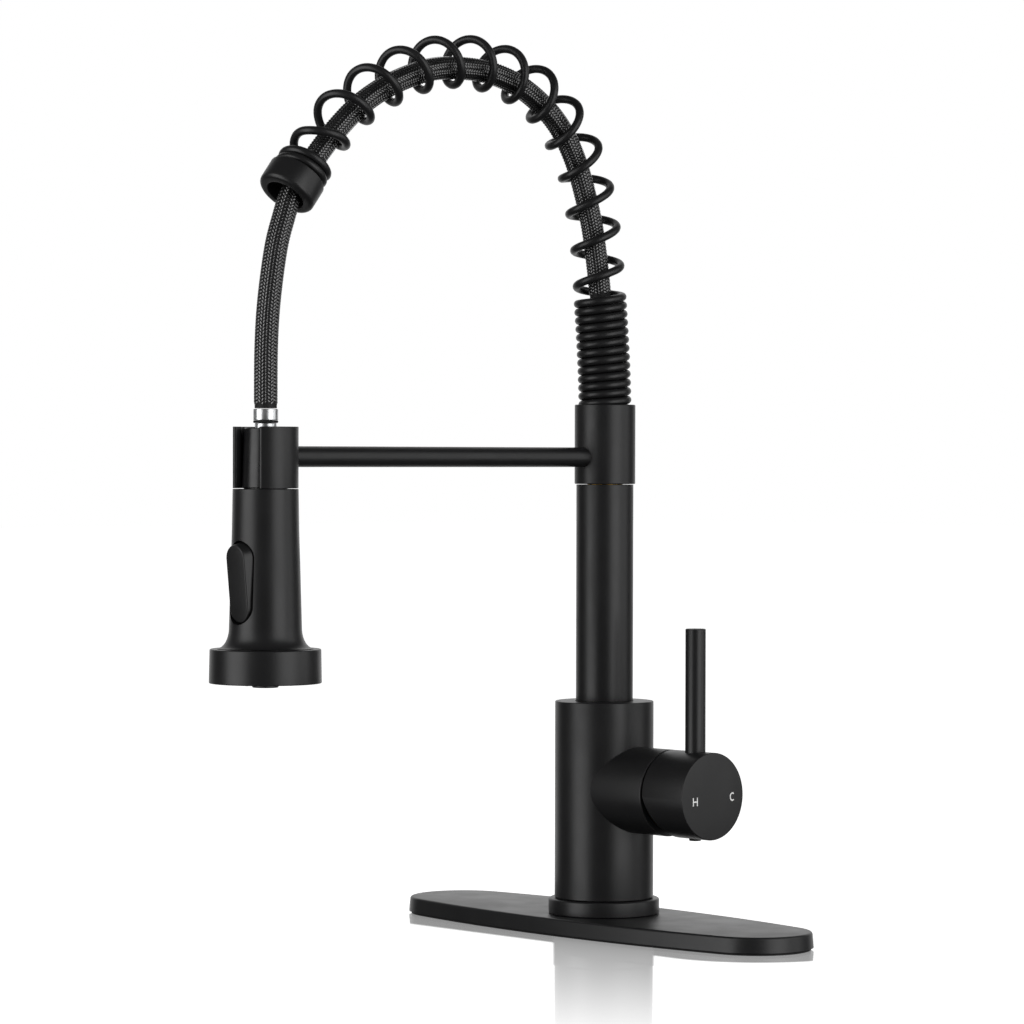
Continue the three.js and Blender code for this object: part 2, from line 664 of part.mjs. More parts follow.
add('cartridge_body', cartridgeBody(), plastic);
add('ceramic_disc_fixed', fixedDisc(), ceramic);
add('ceramic_disc_moving', movingDisc(), ceramic);
add('cartridge_rotor', cartridgeRotor(), darkPlastic);
add('stem_pivot_pin',
  rodAlongY(PIVOT_PIN_RADIUS, -PIVOT_PIN_LENGTH / 2, PIVOT_PIN_LENGTH / 2, COARSE)
    .translate(stemPivotPlace, 0, HANDLE_HEIGHT), steel);
add('cartridge_stem', cartridgeStem(), brass);
add('cartridge_nut', retainingNut(), brass);
add('cartridge_bonnet', cartridgeBonnet(), darkPlastic);

// ---------------------------------------------------------------------------------------------
// Handle: knob, lever, set screw and marks
// ---------------------------------------------------------------------------------------------

const plugBottom = HANDLE_HEIGHT - BOSS_RADIUS - PLUG_PROUD;
const plugTop = plugBottom + PLUG_LENGTH;
const setScrewTop = HANDLE_HEIGHT - STEM_RADIUS - GAP;

// An H of three bars, standing in the Y-Z plane; margin widens every side
function hotMark(margin, from, to) {
  const side = (MARK_WIDTH - MARK_STROKE) / 2;
  const bar = (width, height, y) =>
    new THREE.BoxGeometry(to - from, width + 2 * margin, height + 2 * margin)
      .translate((from + to) / 2, y + HOT_MARK_PLACE[0], HANDLE_HEIGHT + HOT_MARK_PLACE[1]);
  return join(
    bar(MARK_STROKE, MARK_HEIGHT, -side), bar(MARK_STROKE, MARK_HEIGHT, side),
    bar(2 * side, MARK_STROKE, 0),
  );
}

// A C: most of an oval ring, open towards +Y
function coldMark(margin, from, to) {
  const steps = 12;
  const start = radians(MARK_OPENING) - margin / (MARK_WIDTH / 2);
  const rim = (inset) => Array.from({ length: steps + 1 }, (_, i) => {
    const angle = start + (i / steps) * 2 * (Math.PI - start);
    return new THREE.Vector2((MARK_WIDTH / 2 - inset) * Math.cos(angle),
      (MARK_HEIGHT / 2 - inset) * Math.sin(angle));
  });
  const shape = new THREE.Shape([...rim(-margin), ...rim(MARK_STROKE + margin).reverse()]);
  return new THREE.ExtrudeGeometry(shape, { depth: to - from, bevelEnabled: false })
    .rotateX(Math.PI / 2).rotateZ(Math.PI / 2)
    .translate(from, COLD_MARK_PLACE[0], HANDLE_HEIGHT + COLD_MARK_PLACE[1]);
}

function handleKnob() {
  const cupRadius = BOSS_RADIUS - KNOB_WALL;
  const cupEnd = knobStart + KNOB_CUP_DEPTH;
  const rim = roundedRim(BOSS_RADIUS, knobFace, KNOB_EDGE);
  const shell = turnedOnHandle([
    [0, cupEnd], [cupRadius, cupEnd], [cupRadius, knobStart], [BOSS_RADIUS, knobStart], ...rim,
    [0, knobFace],
  ], FINE);
  // The relief is a wedge under the handle's axis, widest at the bottom
  const span = 2 * BOSS_RADIUS;
  const wedge = new THREE.Shape([
    new THREE.Vector2(0, 0), new THREE.Vector2(-span, 0), new THREE.Vector2(-span, -span),
    new THREE.Vector2(span * Math.tan(radians(KNOB_RELIEF_ANGLE)), -span),
  ]);
  const relief = new THREE.ExtrudeGeometry(wedge, { depth: 2 * span, bevelEnabled: false })
    .rotateX(Math.PI / 2).translate(knobStart, span, HANDLE_HEIGHT);
  const leverHole = rod(LEVER_RADIUS + GAP, BOSS_RADIUS - LEVER_SINK - GAP, BOSS_RADIUS + CUT_PAST, MEDIUM)
    .translate(leverPlace, 0, HANDLE_HEIGHT);
  const screwHole = rod(SET_SCREW_RADIUS + GAP, -BOSS_RADIUS, 0, COARSE)
    .translate(leverPlace, 0, HANDLE_HEIGHT);
  const plugHole = rod(PLUG_RADIUS + GAP, -BOSS_RADIUS - CUT_PAST, plugTop + GAP - HANDLE_HEIGHT, COARSE)
    .translate(leverPlace, 0, HANDLE_HEIGHT);
  return cut(
    shell, relief, leverHole, screwHole, plugHole,
    rodOnHandle(STEM_RADIUS + GAP, cupEnd - CUT_PAST, cupEnd + STEM_SINK, COARSE),
    hotMark(GAP / 2, knobFace - MARK_DEPTH - GAP, knobFace + CUT_PAST),
    coldMark(GAP / 2, knobFace - MARK_DEPTH - GAP, knobFace + CUT_PAST),
  );
}

function leverRod() {
  return turned([
    [0, BOSS_RADIUS - LEVER_SINK], [LEVER_RADIUS, BOSS_RADIUS - LEVER_SINK],
    ...roundedRim(LEVER_RADIUS, LEVER_LENGTH, KNOB_EDGE), [0, LEVER_LENGTH],
  ], MEDIUM).translate(leverPlace, 0, HANDLE_HEIGHT);
}

add('handle_knob', handleKnob(), matteBlack);
add('lever_rod', leverRod(), matteBlack);
add('handle_set_screw',
  rod(SET_SCREW_RADIUS, setScrewTop - SET_SCREW_LENGTH, setScrewTop, COARSE)
    .translate(leverPlace, 0, 0), steel);
add('set_screw_plug', rod(PLUG_RADIUS, plugBottom, plugTop, COARSE).translate(leverPlace, 0, 0), rubber);
add('hot_mark', hotMark(0, knobFace - MARK_DEPTH, knobFace), whiteInk);
add('cold_mark', coldMark(0, knobFace - MARK_DEPTH, knobFace), whiteInk);

// ---------------------------------------------------------------------------------------------
// Riser with its swivel plug, and the nipple in its top
// ---------------------------------------------------------------------------------------------

const riserBore = RISER_RADIUS - RISER_WALL;
const sealGrooveDepth = O_RING_SECTION + GAP;
const sealHeights = [swivelBottom + O_RING_INSET, riserBottom - O_RING_INSET];

// The plug turns in the body: two seal grooves, and a wider groove for the lock screw's tip
function swivelPlug() {
  const grooves = sealHeights.map((height) =>
    pipe(SWIVEL_RADIUS + CUT_PAST, SWIVEL_RADIUS - sealGrooveDepth,
      height - O_RING_SECTION / 2 - GAP, height + O_RING_SECTION / 2 + GAP));
  const lockGroove = pipe(SWIVEL_RADIUS + CUT_PAST, SWIVEL_RADIUS - LOCK_GROOVE_DEPTH,
    swivelScrewHeight - GRUB_RADIUS - GAP, swivelScrewHeight + GRUB_RADIUS + GAP);
  const plug = turned([
    [SWIVEL_BORE, swivelBottom], [SWIVEL_RADIUS, swivelBottom], [SWIVEL_RADIUS, riserBottom],
    [riserBore - GAP, riserBottom], [riserBore - GAP, riserBottom + SWIVEL_SINK],
    [SWIVEL_BORE, riserBottom + SWIVEL_SINK],
  ]);
  return cut(plug, ...grooves, lockGroove);
}

function topNipple() {
  const bottom = riserTop - NIPPLE_SINK;
  return turned([
    [SWIVEL_BORE, bottom], [riserBore - GAP, bottom], [riserBore - GAP, riserTop],
    [NIPPLE_RADIUS, riserTop], [NIPPLE_RADIUS, seatHeight - GAP],
    [NIPPLE_THREAD_RADIUS, seatHeight - GAP],
    [NIPPLE_THREAD_RADIUS, seatHeight + NIPPLE_THREAD_LENGTH],
    [SWIVEL_BORE, seatHeight + NIPPLE_THREAD_LENGTH],
  ]);
}

add('riser_tube', pipe(RISER_RADIUS, riserBore, riserBottom, riserTop, FINE), matteBlack);
add('riser_swivel_plug', swivelPlug(), brass);
add('swivel_washer',
  pipe(RISER_RADIUS, SWIVEL_RADIUS + GAP, riserBottom - GAP - WASHER_THICKNESS, riserBottom - GAP), plastic);
sealHeights.forEach((height, i) =>
  add(`swivel_o_ring_${i + 1}`,
    ringSeal(SWIVEL_RADIUS - sealGrooveDepth + GAP / 2, O_RING_SECTION, height), rubber));
add('riser_top_nipple', topNipple(), brass);

// ---------------------------------------------------------------------------------------------
// Sleeve, arm and dock
// ---------------------------------------------------------------------------------------------

const cupRadius = SLEEVE_RADIUS - SLEEVE_WALL;

function holderSleeve() {
  const sleeve = turned([
    [NIPPLE_RADIUS + GAP, sleeveBottom], [SLEEVE_RADIUS - SLEEVE_EDGE, sleeveBottom],
    [SLEEVE_RADIUS, sleeveBottom + SLEEVE_EDGE],
    ...roundedRim(SLEEVE_RADIUS, sleeveTop, SLEEVE_EDGE), [cupRadius, sleeveTop],
    [cupRadius, seatHeight], [NIPPLE_RADIUS + GAP, seatHeight],
  ], FINE);
  const armSocket = rodAlongY(ARM_RADIUS + GAP, -SLEEVE_RADIUS - CUT_PAST, -SLEEVE_RADIUS + ARM_SINK + GAP)
    .translate(0, 0, armHeight);
  const screwHole = rodAlongY(GRUB_RADIUS + GAP, NIPPLE_RADIUS, SLEEVE_RADIUS + CUT_PAST, COARSE)
    .translate(0, 0, armHeight);
  return cut(sleeve, armSocket, screwHole);
}

// The arm ends on the dock's round side, and a stub goes on into it
function armRod() {
  const start = -SLEEVE_RADIUS + ARM_SINK;
  const rodBody = rodAlongY(ARM_RADIUS, -REACH + DOCK_BORE, start, MEDIUM).translate(0, 0, armHeight);
  const dockRound = rod(DOCK_RADIUS + GAP, dockBottom, dockTop, FINE).translate(0, -REACH, 0);
  const stub = rodAlongY(ARM_STUB_RADIUS, -REACH + DOCK_BORE + GAP,
    -REACH + DOCK_RADIUS + ARM_STUB_LAP, COARSE).translate(0, 0, armHeight);
  return join(cut(rodBody, dockRound), stub);
}

// An open ring: its slot faces -Y, away from the column, and lets the hose out
function dockRing() {
  const ring = turned([
    [DOCK_BORE, dockBottom], [DOCK_RADIUS - DOCK_EDGE, dockBottom],
    [DOCK_RADIUS, dockBottom + DOCK_EDGE], [DOCK_RADIUS, dockTop - DOCK_EDGE],
    [DOCK_RADIUS - DOCK_EDGE, dockTop], [DOCK_BORE, dockTop],
  ], FINE).translate(0, -REACH, 0);
  const slot = new THREE.BoxGeometry(DOCK_SLOT, 2 * DOCK_RADIUS, DOCK_HEIGHT + 2 * CUT_PAST)
    .translate(0, -REACH - DOCK_RADIUS, (dockTop + dockBottom) / 2);
  const stubHole = rodAlongY(ARM_STUB_RADIUS + GAP, -REACH, -REACH + DOCK_RADIUS + CUT_PAST, COARSE)
    .translate(0, 0, armHeight);
  return cut(ring, slot, stubHole);
}

add('holder_sleeve', holderSleeve(), matteBlack);
add('sleeve_lock_screw',
  rodAlongY(GRUB_RADIUS, NIPPLE_RADIUS + GAP, SLEEVE_RADIUS - GRUB_RECESS, COARSE)
    .translate(0, 0, armHeight), steel);
add('arm_rod', armRod(), matteBlack);
add('dock_ring', dockRing(), matteBlack);

// ---------------------------------------------------------------------------------------------
// Spring and its end collar
// ---------------------------------------------------------------------------------------------

const inSpoutPlane = (route) =>
  new THREE.CatmullRomCurve3(route.map(([y, z]) => new THREE.Vector3(0, y, z)), false, 'centripetal');

// Spring pitch at a turn: dense on the column, open over the arch, closed at the collar
function pitchAt(turn, meanPitch) {
  const place = (turn - DENSE_TURNS) / OPEN_TURNS - 0.5;
  const openPitch = meanPitch * (1 + OPEN_GROWTH * place - OPEN_BULGE * place ** 2);
  const rise = THREE.MathUtils.smoothstep(turn, DENSE_TURNS, DENSE_TURNS + RAMP_TURNS);
  const fall = THREE.MathUtils.smoothstep(turn, DENSE_TURNS + OPEN_TURNS - RAMP_TURNS,
    DENSE_TURNS + OPEN_TURNS);
  return DENSE_PITCH + (openPitch - DENSE_PITCH) * rise + (CLOSED_PITCH - openPitch) * fall;
}

const SPRING_STEPS = 8; // of one curl
const WIRE_SIDES = 5;
const ROUTE_STEPS = 2000; // for measuring along the route

function springLine() {
  const route = inSpoutPlane(springRoute);
  route.arcLengthDivisions = ROUTE_STEPS;
  const length = route.getLength();
  const turns = DENSE_TURNS + OPEN_TURNS + CLOSED_TURNS;
  const count = Math.round(turns * SPRING_STEPS);
  const placesFor = (meanPitch) => {
    const places = [0];
    for (let i = 0; i < count; i += 1) {
      places.push(places[i] + pitchAt((i + 0.5) / SPRING_STEPS, meanPitch) / SPRING_STEPS);
    }
    return places;
  };
  // The length grows in proportion with the mean pitch, so two trials give the one that fits
  const [short, long] = [placesFor(0)[count], placesFor(1)[count]];
  const places = placesFor((length - short) / (long - short));
  const across = new THREE.Vector3(1, 0, 0);
  return places.map((place, i) => {
    const at = Math.min(place / length, 1);
    const along = route.getTangentAt(at);
    const outward = new THREE.Vector3().crossVectors(along, across).negate();
    const angle = (i / SPRING_STEPS) * 2 * Math.PI;
    const radial = outward.multiplyScalar(Math.cos(angle)).addScaledVector(across, Math.sin(angle));
    return {
      point: route.getPointAt(at).addScaledVector(radial, SPRING_RADIUS),
      radial, along,
    };
  });
}

// Bends an end of the wire from the coil into a straight tang along the seat's direction
function wireTang(end, coilDirection, seatDirection) {
  const steps = [30, 60, 90].map((turn) => {
    const angle = radians(turn);
    return end.point.clone()
      .addScaledVector(coilDirection, WIRE_BEND * Math.sin(angle))
      .addScaledVector(seatDirection, WIRE_BEND * (1 - Math.cos(angle)));
  });
  steps.push(steps[2].clone().addScaledVector(seatDirection, 2 * WIRE_RADIUS));
  return steps.map((point) => ({ point, radial: end.radial }));
}

const collarAxis = new THREE.Vector3(0, Math.sin(radians(COLLAR_TILT)), Math.cos(radians(COLLAR_TILT)));
const coil = springLine();
const lastOf = coil.length - 1;
const coilForward = ({ along, radial }) => new THREE.Vector3().crossVectors(along, radial);
const footTang = wireTang(coil[0], coilForward(coil[0]).negate(), coil[0].along.clone().negate());
const headTang = wireTang(coil[lastOf], coilForward(coil[lastOf]), collarAxis.clone().negate());
const wireLine = [...footTang.reverse(), ...coil, ...headTang];

// Skin of a wire of this radius along some of the wire's points
function wireSkin(line, radius) {
  return loft(line.map(({ point, radial }, i) => {
    const before = line[Math.max(i - 1, 0)].point;
    const after = line[Math.min(i + 1, line.length - 1)].point;
    const forward = after.clone().sub(before).normalize();
    const side = radial.clone().addScaledVector(forward, -radial.dot(forward)).normalize();
    const up = new THREE.Vector3().crossVectors(forward, side);
    return Array.from({ length: WIRE_SIDES }, (_, k) => {
      const angle = (k / WIRE_SIDES) * 2 * Math.PI;
      return point.clone().addScaledVector(side, radius * Math.cos(angle))
        .addScaledVector(up, radius * Math.sin(angle));
    });
  }));
}

// Least gap of the wire to itself, from each point to the stretches most of a turn away
function leastSelfGap() {
  let least = Infinity;
  const stretch = new THREE.Line3();
  const nearest = new THREE.Vector3();
  wireLine.forEach(({ point }, i) => {
    for (let j = 0; j < wireLine.length - 1; j += 1) {
      if (Math.abs(i - j) < 0.75 * SPRING_STEPS) continue;
      stretch.set(wireLine[j].point, wireLine[j + 1].point).closestPointToPoint(point, true, nearest);
      least = Math.min(least, nearest.distanceTo(point) - 2 * WIRE_RADIUS);
    }
  });
  return least;
}

function springCollar() {
  const tangDepth = 2 * WIRE_RADIUS + WIRE_BEND + GAP;
  const mouthRound = roundedRim(COLLAR_RADIUS, 0, COLLAR_EDGE).map(([r, z]) => [r, -COLLAR_LENGTH - z]);
  const body = turned([
    [COLLAR_BORE, 0], [COLLAR_BORE, -COLLAR_LENGTH / 2], [COLLAR_MOUTH, -COLLAR_LENGTH / 2],
    [COLLAR_MOUTH, -COLLAR_LENGTH], ...mouthRound.reverse(),
    [COLLAR_RADIUS, -COLLAR_BEVEL], [COLLAR_RADIUS - COLLAR_BEVEL, 0],
  ], FINE);
  // The hole for the wire's tang, where the tang comes down
  const toLocal = new THREE.Matrix4().makeRotationX(-radians(COLLAR_TILT))
    .setPosition(collarTop).invert();
  const place = headTang[2].point.clone().applyMatrix4(toLocal);
  const tangHole = rod(WIRE_RADIUS + GAP, -tangDepth, CUT_PAST, COARSE).translate(place.x, place.y, 0);
  // The last turn lies in a seat of its own shape in the collar's top
  const lastTurn = wireLine.slice(-SPRING_STEPS - headTang.length);
  const seat = wireSkin(lastTurn, WIRE_RADIUS + 2 * GAP).applyMatrix4(toLocal);
  return cut(body, tangHole, seat);
}

console.log(`spring: least gap to itself ${leastSelfGap().toFixed(3)} mm`);
add('spout_spring', wireSkin(wireLine, WIRE_RADIUS), matteBlack);
add('spring_collar', springCollar(), matteBlack, collarGroup);

// ---------------------------------------------------------------------------------------------
// Hose and its fittings
// ---------------------------------------------------------------------------------------------

function sprayHose() {
  const route = inSpoutPlane(hoseRoute);
  const section = new THREE.Shape(Array.from({ length: COARSE }, (_, i) => {
    const angle = (i / COARSE) * 2 * Math.PI;
    return new THREE.Vector2(HOSE_RADIUS * Math.cos(angle), HOSE_RADIUS * Math.sin(angle));
  }));
  return new THREE.ExtrudeGeometry(section, {
    steps: Math.round(route.getLength() / HOSE_STEP), extrudePath: route, bevelEnabled: false,
  });
}

function hoseNut() {
  const top = seatHeight + GAP + HOSE_NUT_LENGTH;
  const step = hoseStart - GAP;
  const bore = [
    [0, seatHeight], [NIPPLE_THREAD_RADIUS + GAP, seatHeight], [NIPPLE_THREAD_RADIUS + GAP, step],
    [HOSE_RADIUS + GAP, step], [HOSE_RADIUS + GAP, top + CUT_PAST], [0, top + CUT_PAST],
  ];
  return cut(rod(HOSE_NUT_RADIUS, seatHeight + GAP, top, HEXAGON), turned(bore));
}

function hoseNipple() {
  const shoulder = stemTop + GAP + HOSE_NIPPLE_SHOW;
  return turned([
    [HOSE_NIPPLE_BORE, stemTop - HOSE_NIPPLE_SINK], [HOSE_NIPPLE_RADIUS, stemTop - HOSE_NIPPLE_SINK],
    [HOSE_NIPPLE_RADIUS, shoulder], [FERRULE_BORE - GAP, shoulder],
    [FERRULE_BORE - GAP, ferruleTop - GAP], [HOSE_NIPPLE_BORE, ferruleTop - GAP],
  ], MEDIUM);
}

add('spray_hose', sprayHose(), braid);
add('hose_nut', hoseNut(), brass);
add('hose_nipple', hoseNipple(), chrome, sprayHead);
add('hose_ring_seal',
  pipe(HOSE_RING_RADIUS, FERRULE_BORE, ferruleBottom - GAP - HOSE_RING_SECTION, ferruleBottom - GAP),
  rubber, sprayHead);
add('hose_ferrule', pipe(FERRULE_RADIUS, FERRULE_BORE, ferruleBottom, ferruleTop), chrome, sprayHead);

// ---------------------------------------------------------------------------------------------
// Spray head: stem, shell, waterway, face ring and nozzles
// ---------------------------------------------------------------------------------------------

function dockingStem() {
  const nippleEnd = stemTop - HOSE_NIPPLE_SINK - GAP;
  const spigotBottom = shellTop - STEM_SPIGOT_LENGTH;
  return turned([
    [WATERWAY_BORE, spigotBottom], [STEM_SPIGOT_RADIUS, spigotBottom], [STEM_SPIGOT_RADIUS, stemFoot],
    [STEM_FOOT_RADIUS, stemFoot], [STEM_TOP_RADIUS, stemTop - STEM_CHAMFER],
    [STEM_TOP_RADIUS - STEM_CHAMFER, stemTop],
    [HOSE_NIPPLE_RADIUS + GAP, stemTop], [HOSE_NIPPLE_RADIUS + GAP, nippleEnd],
    [WATERWAY_BORE, nippleEnd],
  ], FINE);
}

const waistHeight = shellBottom + SHELL_FLARE_HEIGHT;
const coreTop = shellTop - STEM_SPIGOT_LENGTH - 2 * GAP;
const coreNeck = shellBottom + CORE_NECK_HEIGHT;

// The flare leaves the waist upright and bends out to the face ring
function flarePoints() {
  const points = [];
  for (let i = 0; i <= FLARE_STEPS; i += 1) {
    const angle = (i / FLARE_STEPS) * (Math.PI / 2);
    points.push([
      SHELL_FLARE_RADIUS - (SHELL_FLARE_RADIUS - SHELL_WAIST_RADIUS) * Math.cos(angle),
      waistHeight - SHELL_FLARE_HEIGHT * Math.sin(angle),
    ]);
  }
  return points;
}

function togglePocket(margin) {
  const loopAt = (y) => stadium(POCKET_LENGTH + 2 * margin, POCKET_WIDTH + 2 * margin)
    .map(([x, z]) => new THREE.Vector3(x, y, z + togglePivotHeight));
  return loft([loopAt(-CORE_RADIUS - 2 * GAP), loopAt(-FACE_RING_RADIUS)]);
}

function sprayShell() {
  const skirtBottom = shellBottom - SHELL_SKIRT_LENGTH;
  const outline = [
    [STEM_SPIGOT_RADIUS + GAP, shellTop], [SHELL_TOP_RADIUS - SHELL_BEVEL, shellTop],
    [SHELL_TOP_RADIUS, shellTop - SHELL_BEVEL],
    ...SHELL_SWELL.map(([drop, radius]) => [radius, shellTop - drop]),
    ...flarePoints(), [SHELL_SKIRT_RADIUS, shellBottom],
    [SHELL_SKIRT_RADIUS, skirtBottom], [CORE_FLANGE_RADIUS + GAP, skirtBottom],
    [CORE_FLANGE_RADIUS + GAP, shellBottom + 2 * GAP], [CORE_RADIUS + GAP, coreNeck + 2 * GAP],
    [CORE_RADIUS + GAP, coreTop + GAP], [STEM_SPIGOT_RADIUS + GAP, coreTop + GAP],
  ];
  const pinHole = rodAlongX(TOGGLE_PIN_RADIUS + GAP, -TOGGLE_PIN_LENGTH / 2 - GAP,
    TOGGLE_PIN_LENGTH / 2 + GAP, COARSE).translate(0, -TOGGLE_PIVOT, togglePivotHeight);
  const plungerHole = rodAlongY(PLUNGER_RADIUS + GAP, -SHELL_WAIST_RADIUS, -PLUNGER_RADIUS, COARSE)
    .translate(0, 0, togglePivotHeight - PLUNGER_DROP);
  return cut(turned(outline, FINE), togglePocket(0), pinHole, plungerHole);
}

function waterwayCore() {
  const bottom = shellBottom - CORE_FLANGE_HEIGHT;
  const core = turned([
    [WATERWAY_BORE, bottom], [CORE_FLANGE_RADIUS, bottom], [CORE_FLANGE_RADIUS, shellBottom],
    [CORE_RADIUS, coreNeck], [CORE_RADIUS, coreTop], [WATERWAY_BORE, coreTop],
  ], MEDIUM);
  const plungerBore = rodAlongY(PLUNGER_RADIUS + GAP, -CORE_RADIUS - CUT_PAST,
    -CORE_RADIUS + PLUNGER_SINK + GAP, COARSE).translate(0, 0, togglePivotHeight - PLUNGER_DROP);
  return cut(core, plungerBore);
}

const nozzlePlateRadius = FACE_RING_RADIUS - FACE_RING_LIP + NOZZLE_PLATE_LAP;
const nozzlePlateBottom = faceRingBottom + FACE_RING_LIP_HEIGHT + GAP;

function faceRing() {
  const lip = FACE_RING_RADIUS - FACE_RING_LIP;
  const bore = nozzlePlateRadius + GAP;
  const shelf = shellBottom - SHELL_SKIRT_LENGTH;
  const lipTop = faceRingBottom + FACE_RING_LIP_HEIGHT;
  return turned([
    [lip, faceRingBottom], [FACE_RING_RADIUS - FACE_RING_EDGE, faceRingBottom],
    [FACE_RING_RADIUS, faceRingBottom + FACE_RING_EDGE],
    ...roundedRim(FACE_RING_RADIUS - FACE_RING_STEP, faceRingTop, FACE_RING_EDGE),
    [SHELL_SKIRT_RADIUS + GAP, faceRingTop], [SHELL_SKIRT_RADIUS + GAP, shelf], [bore, shelf],
    [bore, lipTop], [lip, lipTop],
  ], FINE);
}

// A rubber plate with rings of short nozzles, and a hole for the aerator
function nozzlePlate() {
  const plate = pipe(nozzlePlateRadius, AERATOR_RADIUS + GAP, nozzlePlateBottom,
    nozzlePlateBottom + NOZZLE_PLATE_THICKNESS, FINE);
  const tip = nozzlePlateBottom - NOZZLE_LENGTH;
  const nozzles = NOZZLE_RINGS.flatMap(({ radius, count }) =>
    Array.from({ length: count }, (_, i) => {
      const angle = (i / count) * 2 * Math.PI;
      return turned([
        [0, tip], [NOZZLE_TIP_RADIUS, tip], [NOZZLE_RADIUS, nozzlePlateBottom + CUT_PAST],
        [0, nozzlePlateBottom + CUT_PAST],
      ], NOZZLE_SIDES).translate(radius * Math.cos(angle), radius * Math.sin(angle), 0);
    }));
  return join(plate, ...nozzles);
}

function aerator() {
  const bottom = faceRingBottom - AERATOR_PROUD;
  const flange = nozzlePlateBottom + NOZZLE_PLATE_THICKNESS + GAP;
  return turned([
    [0, bottom + AERATOR_RECESS], [AERATOR_BORE, bottom + AERATOR_RECESS], [AERATOR_BORE, bottom],
    [AERATOR_RADIUS, bottom], [AERATOR_RADIUS, flange], [AERATOR_FLANGE_RADIUS, flange],
    [AERATOR_FLANGE_RADIUS, flange + AERATOR_FLANGE_HEIGHT], [0, flange + AERATOR_FLANGE_HEIGHT],
  ], MEDIUM);
}

add('docking_stem', dockingStem(), glossBlack, sprayHead);
add('spray_shell', sprayShell(), matteBlack, sprayHead);
add('waterway_core', waterwayCore(), plastic, sprayHead);
add('face_ring', faceRing(), matteBlack, sprayHead);
add('nozzle_plate', nozzlePlate(), rubber, sprayHead);
add('aerator', aerator(), darkPlastic, sprayHead);

// ---------------------------------------------------------------------------------------------
// Spray toggle: rocker, pivot pin and the plunger behind it
// ---------------------------------------------------------------------------------------------

function toggleRocker() {
  const loopAt = (y, widening) => stadium(TOGGLE_LENGTH + widening, TOGGLE_WIDTH + widening)
    .map(([x, z]) => new THREE.Vector3(x, -y, z));
  const paddle = loft([
    loopAt(TOGGLE_BACK, 2 * TOGGLE_DRAFT), loopAt(TOGGLE_FRONT - TOGGLE_EDGE, TOGGLE_EDGE),
    loopAt(TOGGLE_FRONT, -TOGGLE_EDGE),
  ]);
  const hub = rodAlongX(TOGGLE_HUB_RADIUS, -TOGGLE_WIDTH / 2, TOGGLE_WIDTH / 2, COARSE)
    .translate(0, -TOGGLE_PIVOT, 0);
  const webDepth = TOGGLE_BACK - TOGGLE_PIVOT + TOGGLE_EDGE;
  const web = new THREE.BoxGeometry(TOGGLE_WIDTH, webDepth, 2 * TOGGLE_HUB_RADIUS)
    .translate(0, -TOGGLE_PIVOT - webDepth / 2, 0);
  const pinHole = rodAlongX(TOGGLE_PIN_RADIUS + GAP, -TOGGLE_WIDTH, TOGGLE_WIDTH, COARSE)
    .translate(0, -TOGGLE_PIVOT, 0);
  return cut(join(paddle, hub, web), pinHole)
    .translate(0, TOGGLE_PIVOT, 0).rotateX(radians(TOGGLE_TILT))
    .translate(0, -TOGGLE_PIVOT, togglePivotHeight);
}

// The plunger's end rests on the rocker's back
const plungerFront = TOGGLE_BACK - PLUNGER_DROP * Math.tan(radians(TOGGLE_TILT)) - 2 * GAP;

add('spray_toggle', toggleRocker(), matteBlack, sprayHead);
add('toggle_pin',
  rodAlongX(TOGGLE_PIN_RADIUS, -TOGGLE_PIN_LENGTH / 2, TOGGLE_PIN_LENGTH / 2, COARSE)
    .translate(0, -TOGGLE_PIVOT, togglePivotHeight), steel, sprayHead);
add('diverter_plunger',
  rodAlongY(PLUNGER_RADIUS, -plungerFront, -CORE_RADIUS + PLUNGER_SINK, COARSE)
    .translate(0, 0, togglePivotHeight - PLUNGER_DROP), brass, sprayHead);

export default faucet;
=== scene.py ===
"""Looks of a single-handle kitchen faucet with a spring spout and a pull-down spray head.

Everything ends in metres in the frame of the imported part; sizes in millimetres are turned by MM.
"""
import functools
import json
import math

import bmesh
import bpy
from mathutils import Matrix, Vector


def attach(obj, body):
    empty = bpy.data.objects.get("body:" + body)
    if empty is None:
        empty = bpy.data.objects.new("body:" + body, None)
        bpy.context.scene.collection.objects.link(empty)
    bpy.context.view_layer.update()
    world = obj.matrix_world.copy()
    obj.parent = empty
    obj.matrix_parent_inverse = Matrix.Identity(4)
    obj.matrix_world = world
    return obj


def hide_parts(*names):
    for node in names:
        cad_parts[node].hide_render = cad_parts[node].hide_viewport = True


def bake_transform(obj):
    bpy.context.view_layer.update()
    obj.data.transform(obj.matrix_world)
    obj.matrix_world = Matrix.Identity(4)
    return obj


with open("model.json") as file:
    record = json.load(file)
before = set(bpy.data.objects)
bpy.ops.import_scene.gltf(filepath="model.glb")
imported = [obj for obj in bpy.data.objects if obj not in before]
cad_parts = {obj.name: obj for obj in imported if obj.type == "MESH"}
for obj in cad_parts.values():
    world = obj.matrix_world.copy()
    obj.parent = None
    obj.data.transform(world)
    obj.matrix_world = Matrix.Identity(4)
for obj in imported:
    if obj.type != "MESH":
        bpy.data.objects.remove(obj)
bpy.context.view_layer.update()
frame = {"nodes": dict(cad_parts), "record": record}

MM = 0.001
WAVES = 20  # bands of a wave pattern in one unit of its scale

# Sides of round pieces, from the column down to the small parts
COLUMN_ROUND, FINE_ROUND, ROUND, SLIM_ROUND, SMALL_ROUND = 256, 192, 160, 96, 80

